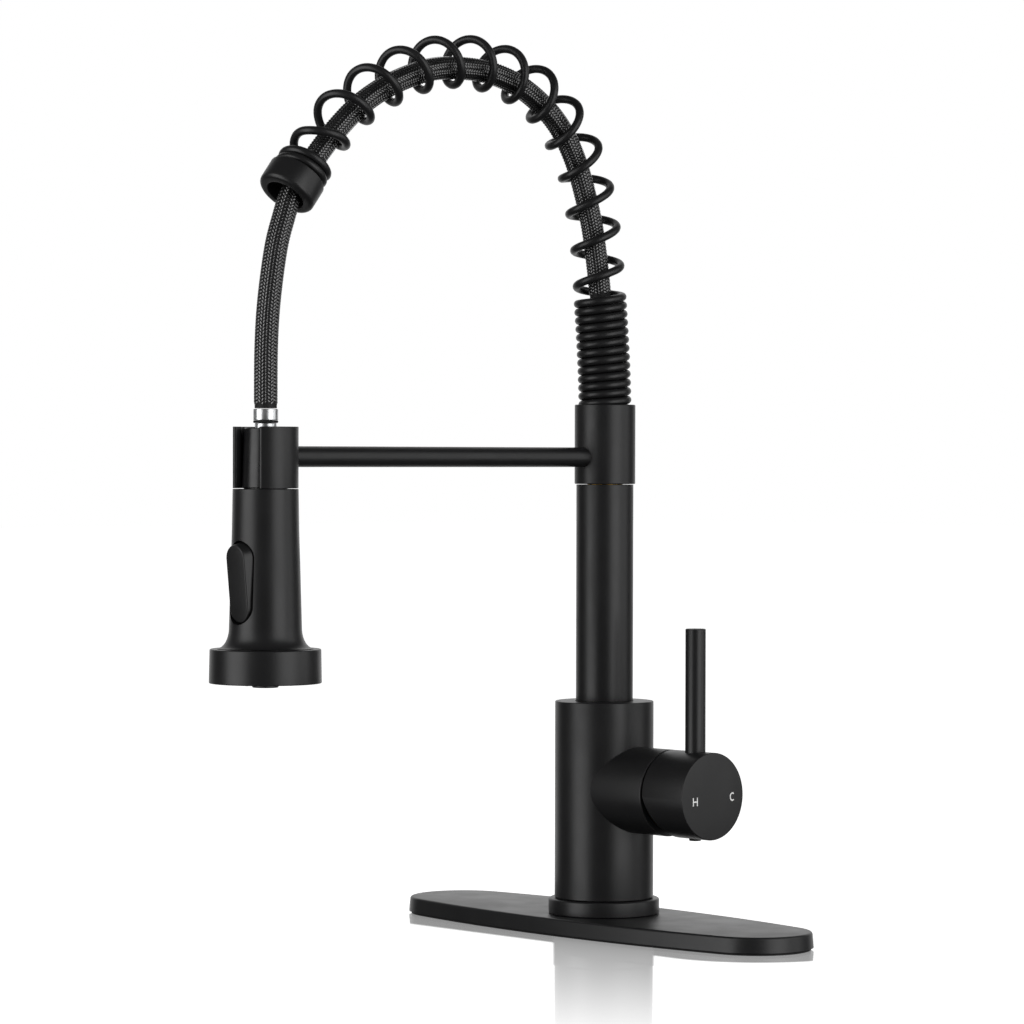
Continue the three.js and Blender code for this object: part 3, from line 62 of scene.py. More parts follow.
# Shared places and sizes, in millimetres
REACH = 215.6  # spray head's axis in front of the column's axis
SPIGOT_HOLE = 16.3  # radius of the hole through plate, ring and column
COLUMN_TOP = 113
HANDLE_HEIGHT = 70.4
HANDLE_RADIUS = 21  # of the boss and of the knob
KNOB_BACK, KNOB_FACE = 47.3, 74.3
LEVER_PLACE = 62.55
SWIVEL_SCREW_HEIGHT = 106
ARM_HEIGHT = 232.6
LOCK_SCREW_HOLE = 2.2
LOCK_SCREW_RADIUS = 1.95
DOCK_BOTTOM, DOCK_TOP, DOCK_RADIUS = 218.2, 246.2, 14.95
SHELL_FOOT, FLARE_TOP, RIM_RADIUS = 140, 155, 22
TOGGLE_HEIGHT = 175.5
TOGGLE_PIVOT = 10.9  # rocker's pin in front of the spray head's axis
COLLAR_TOP = (0, -197, 361.2)
COLLAR_TILT = 38

# The camera, in metres
CAMERA_PLACE = (1.40533, -1.37437, 0.23286)
CAMERA_RIGHT = (0.68239075, 0.73098439, 0.00216429)
CAMERA_UP = (-0.01161095, 0.00787859, 0.99990155)

HEAD = Matrix.Translation((0, -REACH, 0))
ACROSS = Matrix.Rotation(math.pi / 2, 4, "Y")
ALONG_X = Matrix.Translation((0, 0, HANDLE_HEIGHT)) @ ACROSS
ALONG_Y = Matrix.Rotation(-math.pi / 2, 4, "X")
COLLAR = Matrix.Translation(COLLAR_TOP) @ Matrix.Rotation(-math.radians(COLLAR_TILT), 4, "X")
UPRIGHT = Matrix.Identity(4)


# ---------------------------------------------------------------------------------------------
# Node trees
# ---------------------------------------------------------------------------------------------

def add_node(tree, kind, inputs=None, **settings):
    """Adds a node; an input is given a value, another node's output, or a node for the first
    output that it has in use."""
    made = tree.nodes.new(kind)
    for name, value in settings.items():
        setattr(made, name, value)
    for name, value in (inputs or {}).items():
        if isinstance(value, bpy.types.Node):
            value = next(socket for socket in value.outputs if socket.enabled)
        if isinstance(value, bpy.types.NodeSocket):
            tree.links.new(value, made.inputs[name])
        else:
            made.inputs[name].default_value = value
    return made


def blank_tree(owner):
    """Empties the node tree of a material or of the world, and returns it."""
    owner.use_nodes = True
    owner.node_tree.nodes.clear()
    return owner.node_tree


def new_object(name, data):
    """An object in the scene that shows this mesh, lamp or camera."""
    made = bpy.data.objects.new(name, data)
    bpy.context.scene.collection.objects.link(made)
    return made


def linear(colour):
    """Turns an sRGB hex colour into linear red, green, blue and alpha."""
    channels = [int(colour[i:i + 2], 16) / 255 for i in (1, 3, 5)]
    return [c / 12.92 if c <= 0.04045 else ((c + 0.055) / 1.055) ** 2.4 for c in channels] + [1.0]


def per(size):
    """Pattern scale for details of this size in millimetres."""
    return 1 / (size * MM)


def start_material(name, **shader_inputs):
    """A new material with its surface shader; returns material, tree, shader and coordinates."""
    material = bpy.data.materials.new(name)
    tree = blank_tree(material)
    shader = add_node(tree, "ShaderNodeBsdfPrincipled", shader_inputs)
    add_node(tree, "ShaderNodeOutputMaterial", {"Surface": shader.outputs["BSDF"]})
    place = add_node(tree, "ShaderNodeTexCoord").outputs["Object"]
    return material, tree, shader, place


def mottled(tree, shader, place, colours, roughness, size):
    """Varies colour and roughness softly over patches of this size in millimetres."""
    patches = add_node(tree, "ShaderNodeTexNoise", {
        "Vector": place, "Scale": per(size), "Detail": 3.0,
    })
    shade = add_node(tree, "ShaderNodeMix", {
        "Factor": patches.outputs["Fac"], 6: linear(colours[0]), 7: linear(colours[1]),
    }, data_type="RGBA")
    rough = add_node(tree, "ShaderNodeMapRange", {
        "Value": patches.outputs["Fac"], "From Min": 0.3, "From Max": 0.7,
        "To Min": roughness[0], "To Max": roughness[1],
    })
    tree.links.new(shade.outputs[2], shader.inputs["Base Color"])
    tree.links.new(rough.outputs["Result"], shader.inputs["Roughness"])


def bumpy(tree, shader, height, depth):
    """Raises the surface by this depth in millimetres where the pattern is high."""
    bump = add_node(tree, "ShaderNodeBump", {
        "Height": height, "Distance": depth * MM, "Strength": 1.0,
    })
    tree.links.new(bump.outputs["Normal"], shader.inputs["Normal"])


# ---------------------------------------------------------------------------------------------
# Materials
# ---------------------------------------------------------------------------------------------

def chrome_plate():
    """Satin chrome plate over turned brass: bright and soft, with faint turning marks round the
    axis that blur what it reflects into a pale grey."""
    material, tree, shader, place = start_material("satin_chrome_plate", Metallic=1.0)
    mottled(tree, shader, place, ("#e6e8ea", "#f2f3f4"), (0.3, 0.38), 3)
    marks = add_node(tree, "ShaderNodeTexWave", {
        "Vector": place, "Scale": per(0.35) / WAVES, "Distortion": 1.2, "Detail": 1.0,
    }, bands_direction="Z")
    bumpy(tree, shader, marks.outputs["Fac"], 0.002)
    return material


def turned_brass():
    """Lathe-turned brass, not plated: warm yellow, with fine rings from the tool."""
    material, tree, shader, place = start_material("turned_brass", Metallic=1.0)
    mottled(tree, shader, place, ("#b8954f", "#c9a763"), (0.28, 0.38), 5)
    rings = add_node(tree, "ShaderNodeTexWave", {
        "Vector": place, "Scale": per(0.4) / WAVES, "Distortion": 0.6,
    }, bands_direction="Z")
    bumpy(tree, shader, rings.outputs["Fac"], 0.006)
    return material


def braid_strand():
    """Black nylon monofilament, several side by side in each strand: the round threads catch the
    light as small bright dashes, so that the weave sparkles. The coat stands for their skin."""
    material, tree, shader, _ = start_material("black_nylon_braid", **{
        "IOR": 1.43, "Base Color": linear("#0f0f10"),
        "Coat Weight": 1.0, "Coat Roughness": 0.09, "Coat IOR": 2.0,
    })
    across = add_node(tree, "ShaderNodeAttribute", attribute_name="across")
    threads = 4  # of 0.22 mm, side by side in a strand of 0.9 mm
    turn = add_node(tree, "ShaderNodeMath", {
        0: across.outputs["Fac"], 1: threads * math.pi,
    }, operation="MULTIPLY")
    wave = add_node(tree, "ShaderNodeMath", {0: turn.outputs[0]}, operation="COSINE")
    thread = add_node(tree, "ShaderNodeMath", {0: wave.outputs[0]}, operation="ABSOLUTE")
    rough = add_node(tree, "ShaderNodeMapRange", {
        "Value": thread.outputs[0], "To Min": 0.6, "To Max": 0.4,
    })
    tree.links.new(rough.outputs["Result"], shader.inputs["Roughness"])
    bumpy(tree, shader, thread.outputs[0], 0.03)
    return material


def finish(name, colours, roughness, patches, grain=None, **shader_inputs):
    """A material whose colour and roughness vary softly over patches, and whose skin has a grain
    of (size, detail, depth), with all sizes in millimetres."""
    material, tree, shader, place = start_material(name, **shader_inputs)
    mottled(tree, shader, place, colours, roughness, patches)
    if grain:
        size, detail, depth = grain
        skin = add_node(tree, "ShaderNodeTexNoise", {
            "Vector": place, "Scale": per(size), "Detail": detail,
        })
        bumpy(tree, shader, skin.outputs["Fac"], depth)
    return material


# Matte black powder coat, baked on brass and zinc: broad soft highlights, and a fine orange peel
# of about half a millimetre that takes the sharpness off every reflection
POWDER = finish("matte_black_powder_coat", ("#19191a", "#1d1d1e"), (0.36, 0.42), 14,
                grain=(0.55, 2.0, 0.006), IOR=1.5)

# Moulded ABS under a soft matte black paint: like the coated metal, a little smoother
PAINTED = finish("matte_black_painted_abs", ("#19191a", "#1d1d1e"), (0.35, 0.41), 18,
                 grain=(0.4, 1.0, 0.003), IOR=1.5)

# Glossy black moulded ABS, bare from the mould: darker than the paint, with brighter and narrower
# reflections that waver slightly where the plastic sank while it cooled
GLOSS = finish("gloss_black_moulded_abs", ("#0a0a0c", "#0e0e10"), (0.26, 0.34), 9,
               grain=(7, 0.0, 0.02), IOR=1.53)

CHROME = chrome_plate()
BRASS = turned_brass()

# Zinc-plated steel of the pins and the set screw: grey, slightly cloudy
STEEL = finish("zinc_plated_steel", ("#8f9196", "#a5a7ab"), (0.28, 0.42), 1.5, Metallic=1.0)

# Blackened steel of the locking screws: dark grey with a dull shine
BLACK_STEEL = finish("black_oxide_steel", ("#2b2b2d", "#363638"), (0.38, 0.5), 1.2, Metallic=1.0)

# Silicone and EPDM rubber: black, dry, almost without a highlight, dusty in patches
RUBBER = finish("black_moulded_rubber", ("#161617", "#1e1e1e"), (0.68, 0.8), 4,
                grain=(0.3, 2.0, 0.01), IOR=1.45)

# Moulded acetal, POM: a waxy, slightly soft shine
ACETAL = {"grain": (1.2, 2.0, 0.005), "IOR": 1.48,
          "Subsurface Weight": 0.05, "Subsurface Radius": 3 * (1.5 * MM,)}
WHITE_ACETAL = finish("white_moulded_acetal", ("#dedbd2", "#e9e7df"), (0.36, 0.46), 6, **ACETAL)
DARK_ACETAL = finish("dark_moulded_acetal", ("#1f2022", "#27282a"), (0.36, 0.46), 6, **ACETAL)

# Sintered alumina discs, lapped flat: dense white with a fine sheen
CERAMIC = finish("lapped_alumina_ceramic", ("#e9e7df", "#f2f0e9"), (0.2, 0.28), 2.5, IOR=1.7)

# White enamel filled into the engraved marks: flat, bright, a little uneven
ENAMEL = finish("white_enamel_fill", ("#f1f1f0", "#fbfbfa"), (0.45, 0.6), 0.8, IOR=1.5)

STRAND = braid_strand()

# Dark inner hose between the strands: PEX under the braid, matte and nearly black
GROUND = finish("hose_under_braid", ("#08080a", "#0d0d0e"), (0.6, 0.7), 2, IOR=1.5)

CAD_FINISHES = {
    "matte_black": POWDER, "matte_black_shell": PAINTED, "gloss_black": GLOSS, "chrome": CHROME,
    "brass": BRASS, "steel": STEEL, "rubber": RUBBER, "white_plastic": WHITE_ACETAL,
    "dark_plastic": DARK_ACETAL, "ceramic": CERAMIC, "white_ink": ENAMEL, "black_braid": STRAND,
}
for part in frame["record"]["subparts"]:
    node = frame["nodes"][part["node"]]
    node.data.materials.clear()
    node.data.materials.append(CAD_FINISHES[part["material_slot"]])


# ---------------------------------------------------------------------------------------------
# Shapes: built in millimetres, then turned to metres
# ---------------------------------------------------------------------------------------------

def filleted(corners, steps=6):
    """Outline from (radius, height, rounding) corners, each rounding replaced by an arc."""
    line = []
    for i, (radius, height, rounding) in enumerate(corners):
        here = Vector((radius, height))
        if not rounding:
            line.append(here)
            continue
        before = (Vector(corners[i - 1][:2]) - here).normalized()
        after = (Vector(corners[(i + 1) % len(corners)][:2]) - here).normalized()
        half = before.angle(after) / 2
        middle = here + (before + after).normalized() * rounding / math.sin(half)
        first = here + before * rounding / math.tan(half) - middle
        last = here + after * rounding / math.tan(half) - middle
        line += [middle + rounding * first.slerp(last, k / steps) for k in range(steps + 1)]
    return line


def piece_of(name, mesh_code, material, place=UPRIGHT):
    """Makes an object from bmesh code, with faces outward."""
    mesh = bpy.data.meshes.new(name)
    made = bmesh.new()
    mesh_code(made)
    bmesh.ops.remove_doubles(made, verts=made.verts, dist=1e-5)
    bmesh.ops.transform(made, matrix=place, verts=made.verts)
    bmesh.ops.recalc_face_normals(made, faces=made.faces)
    made.to_mesh(mesh)
    made.free()
    mesh.materials.append(material)
    return new_object(name, mesh)


def loft(made, loops, closed_ends=True):
    """Joins loops of as many points each into a skin."""
    rings = [[made.verts.new(p) for p in loop] for loop in loops]
    for below, above in zip(rings, rings[1:]):
        for i in range(len(below)):
            j = (i + 1) % len(below)
            made.faces.new((below[i], below[j], above[j], above[i]))
    if closed_ends:
        made.faces.new(rings[0][::-1])
        made.faces.new(rings[-1])
    return rings


def turned(name, corners, material, place=UPRIGHT, sides=ROUND):
    """A closed outline of (radius, height, rounding) corners turned round its axis."""
    def code(made):
        rings = []
        for radius, height in filleted(corners):
            if radius < 1e-6:
                rings.append([made.verts.new((0, 0, height))])
                continue
            rings.append([made.verts.new((
                radius * math.cos(2 * math.pi * i / sides),
                radius * math.sin(2 * math.pi * i / sides), height)) for i in range(sides)])
        for below, above in zip(rings, rings[1:] + rings[:1]):
            if len(below) == 1 and len(above) == 1:
                continue
            for i in range(sides):
                j = (i + 1) % sides
                face = [below[0]] if len(below) == 1 else [below[i], below[j]]
                face += [above[0]] if len(above) == 1 else [above[j], above[i]]
                made.faces.new(face)
    return piece_of(name, code, material, place)


def rod(name, radius, start, end, place=UPRIGHT, sides=SMALL_ROUND):
    """A plain round bar along its axis, most often one that cuts a hole."""
    return turned(name, [(0, start, 0), (radius, start, 0), (radius, end, 0), (0, end, 0)],
                  POWDER, place, sides)


def plain_mesh(piece):
    """Applies an object's modifiers."""
    depsgraph = bpy.context.evaluated_depsgraph_get()
    mesh = bpy.data.meshes.new_from_object(piece.evaluated_get(depsgraph))
    piece.modifiers.clear()
    old = piece.data
    piece.data = mesh
    bpy.data.meshes.remove(old)
    mesh.name = piece.name


def carve(piece, *cutters, operation="DIFFERENCE"):
    """Cuts the cutters out of a piece, or joins them to it, and removes them."""
    for cutter in cutters:
        change = piece.modifiers.new("carve", "BOOLEAN")
        change.operation = operation
        change.solver = "EXACT"
        change.object = cutter
    plain_mesh(piece)
    for cutter in cutters:
        bpy.data.objects.remove(cutter)
    while len(piece.data.materials) > 1:
        piece.data.materials.pop()
    piece.data.polygons.foreach_set("material_index", [0] * len(piece.data.polygons))
    return piece


def shade(piece, sharp):
    """Shades a mesh smooth, but for edges that turn by more than this angle in degrees."""
    piece.data.polygons.foreach_set("use_smooth", [True] * len(piece.data.polygons))
    piece.data.set_sharp_from_angle(angle=math.radians(sharp))


def dress(piece, node, body, sharp=28):
    """Turns a piece to metres, shades it, and puts it in its node's place on its body."""
    piece.data.transform(Matrix.Scale(MM, 4))
    shade(piece, sharp)
    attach(piece, body)
    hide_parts(node)


def stadium(length, width, steps=24):
    """Outline with round ends, standing in X and Z, anticlockwise seen from -Y."""
    radius = width / 2
    half = [(radius * math.cos(math.pi * i / steps),
             (length - width) / 2 + radius * math.sin(math.pi * i / steps))
            for i in range(steps + 1)]
    return half + [(-x, -z) for x, z in half]


# ---------------------------------------------------------------------------------------------
# Deck plate, base ring and body
# ---------------------------------------------------------------------------------------------

PLATE_HALF_LENGTH, PLATE_HALF_WIDTH, PLATE_END_RADIUS = 130, 37, 28


def plate_outline(inset, height, steps=32):
    """Oval of two shallow side arcs and two end arcs, inset evenly."""
    half_length, half_width = PLATE_HALF_LENGTH - inset, PLATE_HALF_WIDTH - inset
    end_radius = PLATE_END_RADIUS - inset
    end = half_length - end_radius
    side_radius = (end ** 2 + half_width ** 2 - end_radius ** 2) / (2 * (half_width - end_radius))
    side_angle = math.atan2(end, side_radius - half_width)
    half = []
    for i in range(-steps, steps):
        angle = i / steps * side_angle
        half.append((side_radius * math.sin(angle),
                     half_width - side_radius + side_radius * math.cos(angle)))
    for i in range(2 * steps):
        angle = (1 - i / steps) * (math.pi / 2 - side_angle)
        half.append((end + end_radius * math.cos(angle), end_radius * math.sin(angle)))
    return [(x, y, height) for x, y in half + [(-x, -y) for x, y in half]]


def deck_plate(made):
    """Pressed plate: rounded top edge, slightly drafted side, hollow underneath, one round hole."""
    edge, draft, wall = 1.3, 0.5, 2.4
    bottom, top = 1.2, 8.6
    rim = [plate_outline(draft + edge * (1 - math.cos(math.radians(a))),
                         top - edge + edge * math.sin(math.radians(a))) for a in range(0, 91, 15)]
    ring = [(SPIGOT_HOLE * Vector(p[:2]).normalized()) for p in plate_outline(0, 0)]
    loops = [
        [(x, y, top - wall) for x, y in ring],
        plate_outline(wall + draft, top - wall), plate_outline(wall, bottom),
        plate_outline(0, bottom), *rim, [(x, y, top) for x, y in ring],
    ]
    rings = loft(made, loops, closed_ends=False)
    for i in range(len(ring)):
        j = (i + 1) % len(ring)
        made.faces.new((rings[-1][i], rings[-1][j], rings[0][j], rings[0][i]))


dress(piece_of("oval_deck_plate", deck_plate, POWDER), "deck_plate", "base")
dress(turned("column_base_ring", [
    (SPIGOT_HOLE, 8.9, 0), (27.2, 8.9, 0.3), (27.2, 16.2, 0.9), (SPIGOT_HOLE, 16.2, 0),
], POWDER), "base_ring", "base")

column = turned("column_and_boss", [
    (SPIGOT_HOLE, 16.5, 0), (24.2, 16.5, 0.4), (24.2, COLUMN_TOP, 0.5), (14.3, COLUMN_TOP, 0),
    (14.3, 111.8, 0), (11.5, 111.8, 0), (11.5, 98.7, 0), (0, 98.7, 0), (0, 40.3, 0),
    (SPIGOT_HOLE, 40.3, 0),
], POWDER, sides=COLUMN_ROUND)
carve(column, turned("boss", [
    (0, 2, 0), (HANDLE_RADIUS, 2, 0), (HANDLE_RADIUS, 46.1, 0.5), (0, 46.1, 0),
], POWDER, ALONG_X, FINE_ROUND), operation="UNION")
carve(column,
      rod("cartridge_bore", 17.8, 12.3, 50, ALONG_X, ROUND),
      rod("screw_bore", LOCK_SCREW_HOLE, 8, 30,
          Matrix.Translation((0, 0, SWIVEL_SCREW_HEIGHT)) @ ALONG_Y))
dress(column, "faucet_body", "base", sharp=20)


# ---------------------------------------------------------------------------------------------
# Handle: knob, lever, plug and marks
# ---------------------------------------------------------------------------------------------

def relief_wedge(made):
    """Wedge under the handle's axis that slants the knob's lower inner rim by 20 degrees."""
    reach, start, half_width = 42, 20, 40
    slant = reach * math.tan(math.radians(20))
    low = HANDLE_HEIGHT - reach
    side = [(KNOB_BACK, HANDLE_HEIGHT), (KNOB_BACK + slant, low), (start, low),
            (start, HANDLE_HEIGHT)]
    loft(made, [[(x, y, z) for x, z in side] for y in (-half_width, half_width)])


lever_axis = Matrix.Translation((LEVER_PLACE, 0, 0))
knob = turned("handle_cap", [
    (0, 55, 0), (18.5, 55, 0), (18.5, KNOB_BACK, 0), (HANDLE_RADIUS, KNOB_BACK, 0.25),
    (HANDLE_RADIUS, KNOB_FACE, 0.5), (0, KNOB_FACE, 0),
], POWDER, ALONG_X, FINE_ROUND)
carve(knob,
      piece_of("relief", relief_wedge, POWDER),
      rod("lever_socket", 4.96, 79.9, 100, lever_axis),
      rod("stem_socket", 3.8, 54, 67, ALONG_X),
      rod("plug_socket", 2.95, 40, 53.8, lever_axis),
      rod("screw_socket", 2.5, 53, 68, lever_axis))
dress(knob, "handle_knob", "handle", sharp=20)
dress(turned("lever_pin", [(0, 80.4, 0), (4.9, 80.4, 0), (4.9, 150.4, 0.5), (0, 150.4, 0)],
             POWDER, lever_axis, SMALL_ROUND), "lever_rod", "handle")
dress(turned("knob_screw_cap", [(0, 48.5, 0), (2.85, 48.5, 0.35), (2.85, 53.5, 0), (0, 53.5, 0)],
             RUBBER, lever_axis, SMALL_ROUND), "set_screw_plug", "handle")

HOT_PLACE = (-11.9, HANDLE_HEIGHT - 1.9)
COLD_PLACE = (13.5, HANDLE_HEIGHT - 0.7)
MARK_BACK, MARK_FACE = 73.9, 74.33


def raised(made, outline, place):
    """Stands an outline on the knob's face at this place."""
    loft(made, [[(x, y + place[0], z + place[1]) for y, z in outline]
                for x in (MARK_BACK, MARK_FACE)])


def hot_mark(made):
    """H of three bars."""
    outer, inner, half_height, half_bar = 1.65, 1.05, 2, 0.3
    for low, high, half in ((-outer, -inner, half_height), (inner, outer, half_height),
                            (-inner, inner, half_bar)):
        raised(made, [(low, -half), (high, -half), (high, half), (low, half)], HOT_PLACE)


def cold_mark(made):
    """C: most of an oval ring, open to the right."""
    half_width, half_height, stroke = 1.75, 2.05, 0.6
    steps, opening = 40, math.radians(50)
    angles = [opening + i / steps * 2 * (math.pi - opening) for i in range(steps + 1)]
    outer = [(half_width * math.cos(a), half_height * math.sin(a)) for a in angles]
    inner = [((half_width - stroke) * math.cos(a), (half_height - stroke) * math.sin(a))
             for a in angles]
    for i in range(steps):
        raised(made, [outer[i], outer[i + 1], inner[i + 1], inner[i]], COLD_PLACE)


def one_skin(code):
    """Runs mesh code of touching cells and drops the walls between them."""
    def joined(made):
        code(made)
        bmesh.ops.remove_doubles(made, verts=made.verts, dist=1e-4)
        centres = {}
        for face in made.faces:
            key = tuple(round(c, 3) for c in face.calc_center_median())
            centres.setdefault(key, []).append(face)
        inside = [f for group in centres.values() if len(group) > 1 for f in group]
        bmesh.ops.delete(made, geom=inside, context="FACES_ONLY")
    return joined


dress(piece_of("hot_letter", hot_mark, ENAMEL), "hot_mark", "handle")
dress(piece_of("cold_letter", one_skin(cold_mark), ENAMEL), "cold_mark", "handle")


# ---------------------------------------------------------------------------------------------
# Riser, sleeve, arm and dock
# ---------------------------------------------------------------------------------------------

dress(turned("riser_pipe", [
    (12.6, COLUMN_TOP, 0), (14, COLUMN_TOP, 0.2), (14, 219.2, 0.2), (12.6, 219.2, 0),
], POWDER), "riser_tube", "spout")

arm_axis = Matrix.Translation((0, 0, ARM_HEIGHT)) @ ALONG_Y
sleeve = turned("spring_holder_sleeve", [
    (9, 219.5, 0), (14.9, 219.5, 0.5), (14.9, 258.4, 0.5), (13.4, 258.4, 0.2), (13.4, 240.5, 0),
    (9, 240.5, 0),
], POWDER, sides=FINE_ROUND)
carve(sleeve,
      rod("arm_socket", 4.85, -20, -10.3, arm_axis),
      rod("screw_hole", LOCK_SCREW_HOLE, 8.6, 20, arm_axis))
dress(sleeve, "holder_sleeve", "spout", sharp=22)

arm = turned("support_arm", [(0, -204.5, 0), (4.8, -204.5, 0), (4.8, -10.6, 0), (0, -10.6, 0)],
             POWDER, arm_axis, SLIM_ROUND)
carve(arm, rod("dock_round", 14.97, 210, 250, HEAD, FINE_ROUND))
dress(arm, "arm_rod", "spout")


def dock(made):
    """Open ring whose slot faces away from the column."""
    bore, half_slot, lip_round, lip_turn = 11.3, 8.25, 1.2, 0.17

    def arc(radius, steps, trim=0.0):
        lip = math.asin(half_slot / radius) + trim
        start, turn = -math.pi / 2 + lip, 2 * (math.pi - lip)
        return [(radius * math.cos(start + turn * i / steps),
                 radius * math.sin(start + turn * i / steps) - REACH) for i in range(steps + 1)]
    rim, wall = arc(DOCK_RADIUS, 2), arc(bore, 2)
    lips = filleted([
        (*rim[0], lip_round), *((x, y, 0) for x, y in arc(DOCK_RADIUS, 90, lip_turn)),
        (*rim[-1], lip_round), (*wall[-1], 0), (*wall[0], 0),
    ])[:-2]
    count = len(lips)
    outline = [tuple(point) for point in lips] + arc(bore, count - 1)[::-1]
    low = [made.verts.new((x, y, DOCK_BOTTOM)) for x, y in outline]
    high = [made.verts.new((x, y, DOCK_TOP)) for x, y in outline]
    for i in range(2 * count):
        j = (i + 1) % (2 * count)
        made.faces.new((low[i], low[j], high[j], high[i]))
    for i in range(count - 1):
        k = 2 * count - 1 - i
        made.faces.new((high[i], high[i + 1], high[k - 1], high[k]))
        made.faces.new((low[i + 1], low[i], low[k], low[k - 1]))


dock_piece = piece_of("slotted_dock", dock, POWDER)
soften = dock_piece.modifiers.new("edges", "BEVEL")
soften.width = 0.45
soften.segments = 3
soften.limit_method = "ANGLE"
soften.angle_limit = math.radians(50)
plain_mesh(dock_piece)
dress(dock_piece, "dock_ring", "spout")


def locking_screw(name, node, body, height, inner, outer):
    """Grub screw in the back of the faucet, with a hexagon socket."""
    radius, socket_radius, socket_depth = LOCK_SCREW_RADIUS, LOCK_SCREW_RADIUS * 0.55, 1.6
    axis = Matrix.Translation((0, 0, height)) @ ALONG_Y
    screw = turned(name, [
        (0, inner, 0), (radius, inner, 0.3), (radius, outer, 0.25), (0, outer, 0),
    ], BLACK_STEEL, axis, 48)
    carve(screw, rod("hexagon", socket_radius, outer - socket_depth, outer + 1, axis, 6))
    dress(screw, node, body)


locking_screw("sleeve_grub_screw", "sleeve_lock_screw", "spout", ARM_HEIGHT, 9.0, 14.1)
locking_screw("swivel_grub_screw", "swivel_lock_screw", "base", SWIVEL_SCREW_HEIGHT, 9.2, 23.4)


# ---------------------------------------------------------------------------------------------
# Spray head
# ---------------------------------------------------------------------------------------------

dress(turned("docking_cone", [
    (4, 207.3, 0), (10, 207.3, 0.2), (10, DOCK_BOTTOM, 0), (10.75, DOCK_BOTTOM, 0.5),
    (9.75, 245.7, 0.6), (5.3, 245.7, 0.2), (5.3, 232.4, 0), (4, 232.4, 0),
], GLOSS, HEAD), "docking_stem", "spray_head")


def shell_side():
    """Outer line of the shell, a smooth curve through its knots and a quarter of an oval for the
    flare, from the top to the rim, as corners without rounding."""
    knots = [(15, 217.5), (15.32, 199.2), (15.75, 184.9), (16.12, 171.9), (16.6, FLARE_TOP)]
    stretch_steps, flare_steps = 6, 24
    flare_width, flare_height = 5.4, 9.5
    line = []
    for i in range(len(knots) - 1):
        a, b, c, d = (Vector(knots[min(max(i + k, 0), len(knots) - 1)]) for k in (-1, 0, 1, 2))
        for k in range(stretch_steps):
            t = k / stretch_steps
            line.append(0.5 * (2 * b + (c - a) * t + (2 * a - 5 * b + 4 * c - d) * t ** 2
                               + (3 * b - a - 3 * c + d) * t ** 3))
    for k in range(flare_steps + 1):
        angle = k / flare_steps * math.pi / 2
        line.append(Vector((RIM_RADIUS - flare_width * math.cos(angle),
                            FLARE_TOP - flare_height * math.sin(angle))))
    return [(p.x, p.y, 0) for p in line]


def stadium_plug(length, width, fronts):
    """Loft of stadium outlines: fronts are (distance in front of the head's axis, widening)."""
    def code(made):
        loft(made, [[(x, -front, z) for x, z in stadium(length + wide, width + wide)]
                    for front, wide in fronts])
    return code


at_toggle = HEAD @ Matrix.Translation((0, 0, TOGGLE_HEIGHT))
at_pivot = Matrix.Translation((0, -TOGGLE_PIVOT, 0))
shell = turned("spray_head_shell", [
    (10.3, 217.9, 0), (14.7, 217.9, 0), (14.88, 217.85, 0), (14.98, 217.7, 0), *shell_side(),
    (20, 145.5, 0), (20, SHELL_FOOT, 0), (16.9, SHELL_FOOT, 0), (16.9, 146.1, 0),
    (8.6, 152.1, 0), (8.6, 206.5, 0), (10.3, 206.5, 0),
], PAINTED, HEAD, FINE_ROUND)
carve(shell,
      piece_of("rocker_recess", stadium_plug(38.2, 16.4, ((8.9, 0), (30, 0))), PAINTED,
               at_toggle),
      rod("pin_bore", 1.2, -9.8, 9.8, at_toggle @ at_pivot @ ACROSS, 24),
      rod("plunger_bore", 2.7, -14, -2, at_toggle @ Matrix.Translation((0, 0, -11)) @ ALONG_Y, 32))
dress(shell, "spray_shell", "spray_head", sharp=24)

dress(turned("spray_face_ring", [
    (21.5, 129.6, 0.3), (25.7, 129.6, 0.5), (25.4, 145.2, 0.6), (20.3, 145.2, 0),
    (20.3, SHELL_FOOT, 0), (23.4, SHELL_FOOT, 0), (23.4, 131.2, 0), (21.5, 131.2, 0.3),
], PAINTED, HEAD, FINE_ROUND), "face_ring", "spray_head")

# The rocker at rest leans on its pin; its front edge is rounded, and it widens to the back
rocker_tilt = at_toggle @ at_pivot @ Matrix.Rotation(math.radians(5.75), 4, "X") \
    @ Matrix.Translation((0, TOGGLE_PIVOT, 0))
rounding = [(16.2 + 0.6 * math.sin(math.radians(a)), 0.55 - 1.2 * (1 - math.cos(math.radians(a))))
            for a in range(0, 91, 18)]
rocker = piece_of("spray_rocker", stadium_plug(35, 12.4, ((12.3, 2.2), *rounding)), PAINTED,
                  rocker_tilt)
hub_place = rocker_tilt @ Matrix.Translation((0, -11.2, 0)) @ ACROSS
carve(rocker, rod("hub", 1.7, -6.2, 6.2, hub_place, 32), operation="UNION")
carve(rocker, rod("pin_hole", 1.05, -7, 7, rocker_tilt @ at_pivot @ ACROSS, 32))
dress(rocker, "spray_toggle", "toggle", sharp=35)


# ---------------------------------------------------------------------------------------------
# Hose end: nipple, seal and ferrule; and the collar of the spring
# ---------------------------------------------------------------------------------------------

